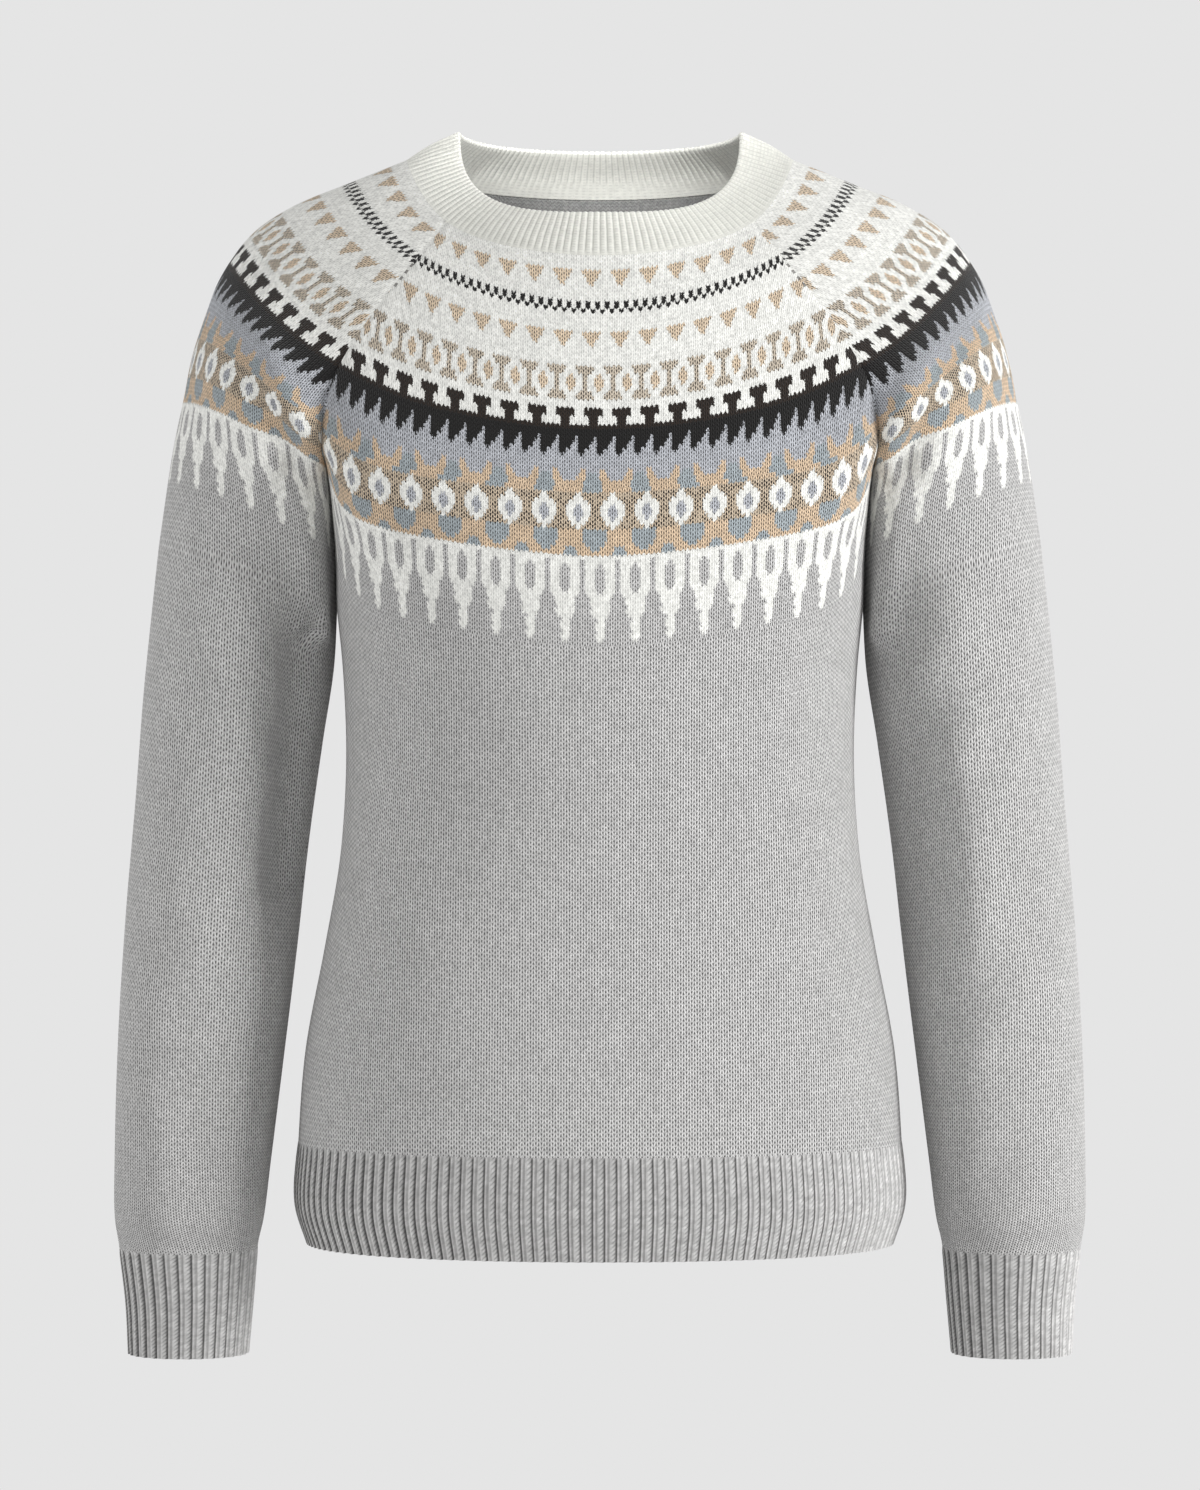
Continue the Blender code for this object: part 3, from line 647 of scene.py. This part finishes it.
# %% [markdown]
# ## Yarn
#
# Colours are written as they look on a screen, from 0 to 255, and turned into the linear numbers that
# Blender's shaders use. Every yarn is a soft brushed one with matt fibres, so it is rough, with a little
# sheen where it turns away.

# %% Yarn colours


def yarn(red, green, blue):
    """A colour for a shader from the numbers of a screen colour, by the rule of the sRGB standard."""
    linear = [c / 255 / 12.92 if c < 10.3 else ((c / 255 + 0.055) / 1.055) ** 2.4
              for c in (red, green, blue)]
    return (*linear, 1.0)


YARNS = {
    "w": yarn(250, 250, 245),  # white
    "g": yarn(226, 225, 224),  # heather grey
    "p": yarn(250, 221, 188),  # peach
    "q": yarn(253, 230, 201),  # pale peach
    "k": yarn(21, 19, 18),  # black
    "b": yarn(45, 34, 26),  # brown
    "l": yarn(212, 215, 222),  # lavender grey
    "s": yarn(190, 200, 205),  # blue grey
    "t": yarn(236, 216, 190),  # tweed
    "u": yarn(238, 224, 204),  # pale tweed
}
FLECKS = {"t": 1.0, "u": 0.6}  # how dark the flecks of a tweed are
FLECK, RIB_GREY = yarn(52, 42, 34), yarn(208, 207, 206)
CREAM, REVERSE = yarn(242, 242, 234), yarn(180, 180, 178)
print(len(YARNS), "yarns")

# %% [markdown]
# ## Stitches
#
# Plain knitting is columns of small V shapes that point down, each hooked into the one below. A column
# and a row number at every point of the cloth are enough to draw them: the fraction of the column tells
# how far a point is from the middle of its stitch, and the V is made by sliding the rows up towards the
# sides of the column. The same two numbers give the bump of the two legs, the painted shade in the gaps
# between them, and the cell of the pattern chart.

# %% Values that a material works out
class Live:
    """A number, colour or vector that a material works out at every point, as the socket of a node."""

    def __init__(self, socket):
        self.socket = socket


def put(value, socket):
    """Connects a live value to a socket, or sets a plain number or colour there."""
    if isinstance(value, Live):
        socket.id_data.links.new(value.socket, socket)
    else:
        socket.default_value = value


def set_inputs(node, **values):
    """Sets inputs of a node by name, with _ for each space."""
    for name, value in values.items():
        put(value, node.inputs[name.replace("_", " ")])


def tree_of(*values):
    """The node tree of the first live value."""
    return next(value.socket.id_data for value in values if isinstance(value, Live))


def add_node(kind, *values, tree=None, **settings):
    """A new node with these values in its first sockets, in their own tree if none is named."""
    node = (tree or tree_of(*values)).nodes.new("ShaderNode" + kind)
    for name, setting in settings.items():
        setattr(node, name, setting)
    for value, socket in zip(values, node.inputs):
        put(value, socket)
    return node


def calc(operation, *values):
    """A math node."""
    return Live(add_node("Math", *values, operation=operation).outputs[0])


# Each sign of arithmetic between live numbers makes a math node.
for sign, operation in (("add", "ADD"), ("sub", "SUBTRACT"), ("mul", "MULTIPLY"), ("truediv", "DIVIDE"),
                        ("pow", "POWER"), ("gt", "GREATER_THAN"), ("lt", "LESS_THAN")):
    setattr(Live, f"__{sign}__", lambda one, other, operation=operation: calc(operation, one, other))
Live.__rsub__ = lambda one, other: calc("SUBTRACT", other, one)
print("live values take + - * / ** > and <")

# %% Small helpers for materials
def fraction(value, shift=0.0):
    """What a value has after its whole number. It is raised first, to be positive."""
    return calc("FRACT", value + (500.0 + shift))


def mix_colour(share, first, second, blend="MIX"):
    """A colour between two others."""
    tree = tree_of(share, first, second)
    node = add_node("Mix", share, tree=tree, data_type="RGBA", blend_type=blend)
    put(first, node.inputs[6])
    put(second, node.inputs[7])
    return Live(node.outputs[2])


def noise(where, scale, detail, rough, part="Fac"):
    """Soft noise from 0 to 1, or three kinds of it in one colour."""
    return Live(add_node("TexNoise", where, 0.0, scale, detail, rough).outputs[part])


def spread(value, low, high, to_low, to_high):
    """A value stretched from one range to another, and held inside it."""
    return Live(add_node("MapRange", value, low, high, to_low, to_high).outputs[0])


def between(value, start, full, last, end, least=0.0):
    """1 where a value lies from full to last, sinking to the least at the start and at the end."""
    return spread(value, start, full, least, 1.0) * spread(value, last, end, 1.0, least)


def together(x, y, z=0.0):
    """A vector of three numbers."""
    return Live(add_node("CombineXYZ", x, y, z).outputs[0])


def split(value):
    """The three numbers of a vector or a colour."""
    return [Live(socket) for socket in add_node("SeparateXYZ", value).outputs]


def shaded(colour, shade):
    """A colour made darker or paler by a number."""
    return mix_colour(1.0, colour, together(shade, shade, shade), "MULTIPLY")


print("helpers are ready")

# %% Where each point is in the knitting, and the bump and shade of plain stitches
ROW_HIGH = 2.2  # millimetres, about
LEG_SLOPE = 1.7  # how many rows the V of a stitch climbs across a whole stitch
LEG_ROUND = 0.55  # a power under 1 makes the legs of the V broad


def stitch_places(tree, width_steps):
    """The column, the row, and the place in the stitch. Width steps are (row, stitch width)."""
    across, down, _ = split(Live(add_node("UVMap", tree=tree, uv_map="UVMap").outputs[0]))
    millimetres, row = (across - 0.5) * ACROSS_SPAN, (1.0 - down) * ROW_SPAN
    width = before = width_steps[0][1]
    for start, wide in width_steps[1:]:
        width = (row > start) * (wide - before) + width
        before = wide
    column = millimetres / width
    aside = calc("ABSOLUTE", fraction(column) - 0.5)
    return {"mm": millimetres, "row": row, "column": column, "aside": aside}


def even_place(place):
    """A place in the knitting with about the same size of step across and down, for noise."""
    return together(place["mm"], place["row"] * ROW_HIGH)


def stitch_relief(place):
    """The height of the two legs of a stitch, from 0 to 1, and the painted shade in the gaps beside them."""
    along = calc("FRACT", place["aside"] * LEG_SLOPE + place["row"])
    leg = calc("MAXIMUM", calc("SINE", place["aside"] * (2 * math.pi)), 0.0) ** LEG_ROUND
    swell = calc("SINE", along * math.pi)
    gap = spread((1.0 - leg) * (swell * -0.95 + 1.0), 0.04, 0.32, 0.0, 1.0)
    return leg * (swell * 0.6 + 0.4), gap


print("a row is", ROW_HIGH, "mm high")

# %% [markdown]
# ## The pattern charts
#
# A knitter reads a pattern from a chart of squares, one square a stitch, and repeats it round the yoke.
# The bands here are small traditional repeats: hearts, dice, ovals, pegs, teeth, waves and icicles. Each
# chart below is typed as rows of letters, one letter a yarn. Round and slanting shapes have two squares to
# a stitch, because the two legs of a stitch blur its edge. A colour ramp with hard steps holds one chart,
# or a part of a tall one, and the number of the square under a point picks the step.

# %% Charts: first row, where the middle of the chart lies, cells in a stitch, rows of letters downwards
def mirrored(*halves):
    """Rows of a chart from their right halves, which are turned round for the left ones."""
    return tuple(half[::-1] + half for half in halves)


HEARTS = mirrored("qqqqww", "qqqwww", "qqwwww", "qwwwww")
CHARTS = (
    (2, -1.8, 2, HEARTS),
    (10, 0.0, 1, ("kw", "kw", "wk")),
    (18, -1.8, 2, HEARTS),
    (27, 2.8, 2, mirrored("uuuuww", "uuuwww", "uwwwwq", "uwwwqq", "uwwwqq", "uwwwwq", "uuuwww", "uuuuww")),
    (37, -1.4, 1, ("wbbbbw", "wbbbbw", "wwbbww", "wwbbww")),
    (41, 0.0, 1, ("b", "k", "k")),
    (44, 1.75, 2, ("kkkkkklk", "kkkkkllk", "kkkklllk", "kklllllk", "klllllll")),
    (49, 0.0, 1, ("l", "l", "l")),
    (52, 3.4, 2, mirrored("lllllpplll", "llllppplss", "lllppppsss", "ppppppssss", "ppppppssss",
                          "ppppppssss")),
    (58, 2.6, 2, mirrored("wtttttt", "wwttttt", "wwwwttt", "lwwwwtt", "llwwwtt", "llwwwtt", "lwwwttt",
                          "wwwtttt", "wtttttt")),
    (67, 3.9, 2, mirrored("pppppsssss", "pppppsssss", "pppppsssss", "ppppppssss", "ssppppppss",
                          "sssppppppp")),
    (73, 0.0, 1, ("w",)),
    (74, -0.5, 2, ("ggwwwwwwwwwwww", "ggwwwwwggwwwww") + ("ggwwwwggggwwww",) * 5 + ("ggwwwwwggwwwww",)),
    (82, -0.5, 2, ("gggwwwwwwwwwwg",) + ("ggggwwwwwwwwgg",) * 4 + ("gggggwwwwwwggg",)
     + ("ggggggwwwwgggg",) * 5 + ("gggggggwwggggg",)),
)
print(len(CHARTS), "bands of pattern, the tallest", max(len(chart[3]) for chart in CHARTS), "rows")

# %% Chart nodes
MOST_STEPS = 28  # a colour ramp holds 32 colours at most
WHITE_ENDS = 73.5  # the row where the ground turns from white to the plain yarn
STRAY_ACROSS, STRAY_DOWN = 0.9, 1.2  # how far the edges of a shape wander, in stitches and rows
CELL_SLOPE = 1.15  # how many rows the edge of a square climbs across a whole stitch


def ramp_of(along, cells):
    """A colour ramp with a hard step wherever the yarn changes, for the cells of a chart in a row."""
    node = add_node("ValToRGB", along)
    ramp = node.color_ramp
    ramp.interpolation = "CONSTANT"
    stops = [(i, cell) for i, cell in enumerate(cells) if i == 0 or cells[i - 1] != cell]
    for i, (at, cell) in enumerate(stops):
        stop = ramp.elements[0] if i == 0 else ramp.elements.new(at / len(cells))
        stop.position = at / len(cells)
        stop.color = (*YARNS[cell][:3], FLECKS.get(cell, 0.0))
    last = ramp.elements[-1]
    if last.position == 1.0 and len(ramp.elements) > len(stops):
        ramp.elements.remove(last)
    return Live(node.outputs["Color"]), Live(node.outputs["Alpha"])


def steps_in(rows):
    """How often the yarn changes along these rows of a chart, read as one line."""
    cells = "".join(rows)
    return sum(1 for cell, following in zip(cells, cells[1:]) if cell != following)


def pieces_of(chart):
    """A chart cut into parts of whole rows that each fit one colour ramp."""
    parts, start = [], 0
    for end in range(1, len(chart) + 1):
        if steps_in(chart[start:end]) > MOST_STEPS:
            parts.append((start, chart[start:end - 1]))
            start = end - 1
    return parts + [(start, chart[start:])]


def pattern(place, plain):
    """The yarn's colour, and where it is tweed, from the charts. Plain is the yarn below the yoke."""
    astray = split(noise(even_place(place), 1.5, 1.0, 0.5, "Color"))
    column_at = (astray[0] - 0.5) * STRAY_ACROSS + place["column"]
    slid = place["aside"] * CELL_SLOPE + place["row"]
    row = calc("FLOOR", (astray[1] - 0.5) * STRAY_DOWN + slid)
    colour, tweed = mix_colour(row > WHITE_ENDS, YARNS["w"], plain), 0.0
    for first, middle, finer, chart in CHARTS:
        wide = len(chart[0])
        across = column_at * finer + (wide / 2 - middle * finer)
        column = calc("FLOOR", calc("FLOORED_MODULO", across, wide))
        for start, rows in pieces_of(chart):
            low = row - (first + start)
            cell = (low * wide + (column + 0.5)) / (wide * len(rows))
            picked, speckled = ramp_of(cell, "".join(rows))
            inside = (low > -0.5) * (low < len(rows) - 0.5)
            colour = mix_colour(inside, colour, picked)
            if set("".join(rows)) & set(FLECKS):
                tweed = calc("MAXIMUM", tweed, inside * speckled)
    return colour, tweed


print("chart parts:", sum(len(pieces_of(chart[3])) for chart in CHARTS))

# %% Finished yarn
YARN_LOOK = {"Roughness": 0.92, "Specular_IOR_Level": 0.25, "Sheen_Weight": 0.25, "Sheen_Roughness": 0.5}


def each_leg(place):
    """A chance number from 0 to 1 for each leg of each stitch, and a short dash in the middle of the leg."""
    slide, halves = place["aside"] * LEG_SLOPE + (place["row"] + 0.5), place["column"] * 2.0 + 0.5
    bumps = [calc("SINE", fraction(value) * math.pi) for value in (halves, slide)]
    leg = together(calc("FLOOR", halves), calc("FLOOR", slide))
    node = add_node("TexWhiteNoise", leg, noise_dimensions="2D")
    return Live(node.outputs["Value"]), spread(bumps[0] * bumps[1], 0.25, 0.5, 0.0, 1.0)


def shade_and_bump_share(colour):
    """1 for dark and grey yarn, down to a quarter for white yarn, whose gaps get less painted shade and bump.
    """
    return spread(split(colour)[1], 0.8, 0.9, 1.0, 0.25)


def fibres(place, colour, gap, dark=0.88, heather=0.16, uneven=1.0):
    """The yarn's colour, mottled in patches and from leg to leg, with painted shade in the gaps between
    stitches.
    """
    even = even_place(place)
    shade = spread(noise(even, 0.42, 2.0, 0.7), 0.3, 0.7, 1 - heather, 1 + heather * 0.8)
    shade = shade * spread(noise(even, 0.05, 2.0, 0.5), 0.3, 0.7, 0.97, 1.03)
    shade = shade * spread(each_leg(place)[0], 0.0, 1.0, 1 - 0.12 * uneven, 1 + 0.1 * uneven)
    return shaded(colour, shade * (1.0 - gap * dark))


def finish(material, colour, height, distance):
    """The shader of a soft matt yarn with this colour and relief."""
    tree = material.node_tree
    shader = tree.nodes["Principled BSDF"]
    bump = add_node("Bump", tree=tree)
    set_inputs(bump, Strength=1.0, Distance=distance * MM, Height=height)
    set_inputs(shader, Base_Color=colour, Normal=Live(bump.outputs[0]), **YARN_LOOK)
    return material


def new_material(name):
    """An empty material with a shader, and its node tree."""
    material = bpy.data.materials.new(name)
    material.use_nodes = True
    return material, material.node_tree


print("yarn:", YARN_LOOK)

# %% The knitted materials: from which row on a stitch has which width, and other numbers that they share
YOKE_WIDTHS = ((0, 2.6), (7, 2.57), (16, 2.54), (25, 2.52), (56.5, 2.62), (73, 2.68), (94.5, 3.0))
PLAIN_BUMP, TWEED_PART = 0.9, 0.36  # millimetres, and the share of legs that stay free of a dark fleck
MARK_ROWS, MARK_WIDE, MARK_PAINTED_SHADE = (13, 21), 1.9, 0.7  # the marks that shaping leaves beside a raglan seam
BLACK_ROWS = (10.0, 13.0)
SHOWN_WITHIN, SEAM_SHADE = 1.5, 0.95  # a rib's shades fade in over these rows, from this even shade


def patterned_knit(name, plain, edge=None):
    """Plain knitting with the charts on its yoke. Edge is how far out the raglan seam is at the mark rows."""
    material, tree = new_material(name)
    place = stitch_places(tree, YOKE_WIDTHS)
    height, gap = stitch_relief(place)
    colour, tweed = pattern(place, plain)
    flat = shade_and_bump_share(colour)
    chance, dash = each_leg(place)
    fleck = dash * (chance > TWEED_PART) * tweed
    # Painted shade in the gaps between stitches, with less of it on white yarn.
    colour = fibres(place, mix_colour(fleck, colour, FLECK), gap * flat)
    if edge:
        # The shaping marks beside the raglan seam, drawn as dashes of painted shade in the brown yarn's
        # colour.
        top, low = MARK_ROWS
        near = calc("ABSOLUTE", place["mm"]) > spread(place["row"], top, low, *edge) - MARK_WIDE
        mark = calc("FRACT", place["row"] * 0.5) > 0.5
        rows = calc("ABSOLUTE", place["row"] - (top + low) / 2) < (low - top) / 2
        colour = mix_colour(near * mark * rows * MARK_PAINTED_SHADE, colour, YARNS["b"])
    return finish(material, colour, height * flat, PLAIN_BUMP)


def curve_of(along, values):
    """A grey curve through pairs of (place, value), halved in a colour ramp, which stops at 1."""
    node = add_node("ValToRGB", along)
    for i, (at, value) in enumerate(values):
        stop = node.color_ramp.elements[i] if i < 2 else node.color_ramp.elements.new(at)
        stop.position, stop.color = at, (value / 2, value / 2, value / 2, 1)
    return split(Live(node.outputs["Color"]))[0] * 2.0


# Painted light and shade across one rib: the wide rib pale on one side and darkest at its far side, then a
# pale narrow rib and a darker valley; the fine rib has dark grooves between pale strands.
WIDE_SHADE = ((0.0, 0.72), (1.0, 0.72), (0.05, 1.08), (0.2, 1.05), (0.34, 0.9), (0.46, 0.6), (0.54, 0.24),
              (0.61, 0.26), (0.67, 0.9), (0.74, 1.05), (0.82, 0.74), (0.92, 0.66))
FINE_SHADE = ((0.0, 0.72), (1.0, 0.72), (0.12, 0.9), (0.27, 1.0), (0.5, 0.95), (0.72, 1.0), (0.88, 0.94))


def ribbed_knit(name, plain, turn_width, turn_shift, shades, rows_shown, slant, depth):
    """Rib knitting: painted light and shade of one rib repeat across it, and its stitches lean over the wide
    rib.
    """
    material, tree = new_material(name)
    place = stitch_places(tree, ((0, turn_width),))
    turn = fraction(place["column"], turn_shift)
    slope = calc("FRACT", turn * slant + place["row"])
    stroke = calc("MAXIMUM", calc("SINE", slope * math.pi), 0.0) ** 0.6
    # Painted shade in dark strokes between the leaning stitches of the wide rib.
    gap = (1.0 - stroke) * between(turn, 0.1, 0.3, 0.6, 0.64, 0.15)
    first, last = rows_shown
    shown = between(place["row"], first, first + SHOWN_WITHIN, last - SHOWN_WITHIN, last)
    # The painted light and shade of the rib, faded to an even painted shade near the first and last rows
    # shown.
    shade = (curve_of(turn, shades) - SEAM_SHADE) * shown + SEAM_SHADE
    colour = fibres(place, shaded(plain, shade), gap, 0.6 * depth, 0.03 + 0.11 * depth, depth)
    return finish(material, colour, shade - gap * 0.4, 0.5 * depth)


def reverse_knit(name, plain):
    """The inside of the cloth: purl rows with painted shade in their furrows, and dark floats behind the
    narrow black band of the yoke.
    """
    material, tree = new_material(name)
    place = stitch_places(tree, YOKE_WIDTHS)
    wave = calc("SINE", place["column"] * (2 * math.pi)) * 0.3 + place["row"]
    purl = calc("ABSOLUTE", calc("SINE", wave * math.pi))
    band = (place["row"] > BLACK_ROWS[0]) * (place["row"] < BLACK_ROWS[1])
    colour = mix_colour(band * (each_leg(place)[0] > 0.5), plain, YARNS["k"])
    return finish(material, fibres(place, colour, spread(purl, 0.1, 0.6, 1.0, 0.0), 0.2), purl, 0.25)


front_edge, back_edge = ([float(half[row, column, 3]) for row in MARK_ROWS]
                         for half, column in ((front_half, -1), (back_half, 0)))
front_knit = patterned_knit("front_knit", YARNS["g"], front_edge)
back_knit = patterned_knit("back_knit", YARNS["g"], back_edge)
sleeve_knit = patterned_knit("sleeve_knit", YARNS["g"])
collar_rib = ribbed_knit("collar_rib", CREAM, FINE_TURN, 0.0, FINE_SHADE, (0.5, 30), 0.0, 0.3)
hem_rib, cuff_rib = (ribbed_knit(name, RIB_GREY, WIDE_TURN, 0.5 - RIB_SHIFT, WIDE_SHADE,
                                 (seam - 1, 400), 2.4, 1.0)
                     for name, seam in (("hem_rib", HEM_SEAM), ("cuff_rib", CUFF_SEAM)))
inside_knit = reverse_knit("reverse_of_the_knit", REVERSE)
print("seven kinds of knitting")

# %% [markdown]
# ## Putting the pieces on the frame
#
# Each piece gets its yarn and, for the inside, the reverse of the knitting. It rides on the one body of
# the sweater, and the plain wall it was made on is hidden.

# %% Pieces: plain wall, yarn, finish, flat width and length in metres, and area where it's no rectangle
DRESS = (
    (front_knit_piece, "front_panel", front_knit, "front_knit", (0.459, 0.53), 0.193),
    (back_knit_piece, "back_panel", back_knit, "back_knit", (0.455, 0.56), 0.198),
    (right_sleeve, "sleeve_right", sleeve_knit, "sleeve_knit", (0.347, 0.655), 0.178),
    (left_sleeve, "sleeve_left", sleeve_knit, "sleeve_knit", (0.347, 0.655), 0.178),
    (collar_piece, "collar_rib", collar_rib, "collar_rib", (0.56, 0.034), None),
    (front_hem, "hem_rib_front", hem_rib, "hem_rib", (0.462, 0.058), None),
    (back_hem, "hem_rib_back", hem_rib, "hem_rib", (0.458, 0.058), None),
    (right_cuff, "cuff_right", cuff_rib, "cuff_rib", (0.224, 0.06), None),
    (left_cuff, "cuff_left", cuff_rib, "cuff_rib", (0.224, 0.06), None),
)
for piece, node, outside, slot, _, _ in DRESS:
    inside = inside_knit if slot.endswith("knit") else outside
    is_inside = np.zeros(len(piece.data.polygons), dtype=np.int32)
    piece.data.polygons.foreach_get("material_index", is_inside)
    piece.data.materials.clear()
    piece.data.materials.append(outside)
    piece.data.materials.append(inside)
    piece.data.polygons.foreach_set("material_index", is_inside)
    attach(piece, "root")
    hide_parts(node)
print(len(DRESS), "pieces are dressed and declared as cloth")

# %% [markdown]
# ## Floor, backdrop and light
#
# The photograph has one even pale grey behind the sweater. A backdrop that glows a little by itself gives
# the same even grey, where a lamp would leave a gradient. The light is a soft key from the right, at the
# height of the neck, a larger and weaker fill from the left, and a weak light from all round. That makes
# the right side of the body pale and the inner side of the left sleeve darker. A narrow lamp, in front and
# above, lights the inside of the collar, which is bright in the photograph too.

# %% Floor and backdrop
FLOOR_SIZE, FLOOR_UP, BACKDROP_SIZE, BACKDROP_AWAY = 12, -1.55, 14, 4.2  # metres
PALE = yarn(229, 229, 229)
bpy.context.scene.view_settings.view_transform = "Standard"
for name, size, place, tilt, glow in (("floor", FLOOR_SIZE, (0, 0, FLOOR_UP), 0, 0.0),
                                      ("backdrop", BACKDROP_SIZE, (0, BACKDROP_AWAY, 0), math.pi / 2, 1.0)):
    bpy.ops.mesh.primitive_plane_add(size=size, location=place, rotation=(tilt, 0, 0))
    plane = bpy.context.object
    plane.name = name
    paper, tree = new_material(name + "_paper")
    set_inputs(tree.nodes["Principled BSDF"], Base_Color=(0, 0, 0, 1) if glow else PALE,
               Specular_IOR_Level=0.0, Roughness=1.0, Emission_Color=PALE, Emission_Strength=glow)
    plane.data.materials.append(paper)
print("a floor", FLOOR_SIZE, "m wide and a backdrop", BACKDROP_AWAY, "m behind the sweater")

# %% Lights
CHEST, NECK_BACK = (0, 0, -0.3), (0, 0.06, 0)  # where the lamps point
ROOM_LIGHT = 0.46


def lamp_at(kind, name, place, aim, power):
    """A lamp of this kind that points at a place. What is returned is its light."""
    bpy.ops.object.light_add(type=kind, location=place)
    lamp = bpy.context.object
    lamp.name = name
    way = np.array(aim, float) - np.array(place, float)
    lamp.rotation_euler = (math.acos(-way[2] / np.linalg.norm(way)), 0,
                           math.atan2(way[1], way[0]) - math.pi / 2)
    lamp.data.energy = power
    return lamp.data


lamp_at("AREA", "key", (2.6, -1.2, 0.15), CHEST, 66).size = 0.9
lamp_at("AREA", "fill", (-2.4, -1.4, 0.1), CHEST, 20).size = 1.2
neck_light = lamp_at("SPOT", "into_the_neck", (0, -1.2, 0.76), NECK_BACK, 96)
neck_light.spot_size, neck_light.spot_blend, neck_light.shadow_soft_size = math.radians(7.5), 0.7, 0.05
world = bpy.context.scene.world or bpy.data.worlds.new("soft_room")
bpy.context.scene.world = world
world.use_nodes = True
set_inputs(world.node_tree.nodes["Background"], Color=(1, 1, 1, 1), Strength=ROOM_LIGHT)
print("a key light, a fill, a lamp into the neck and a soft room")
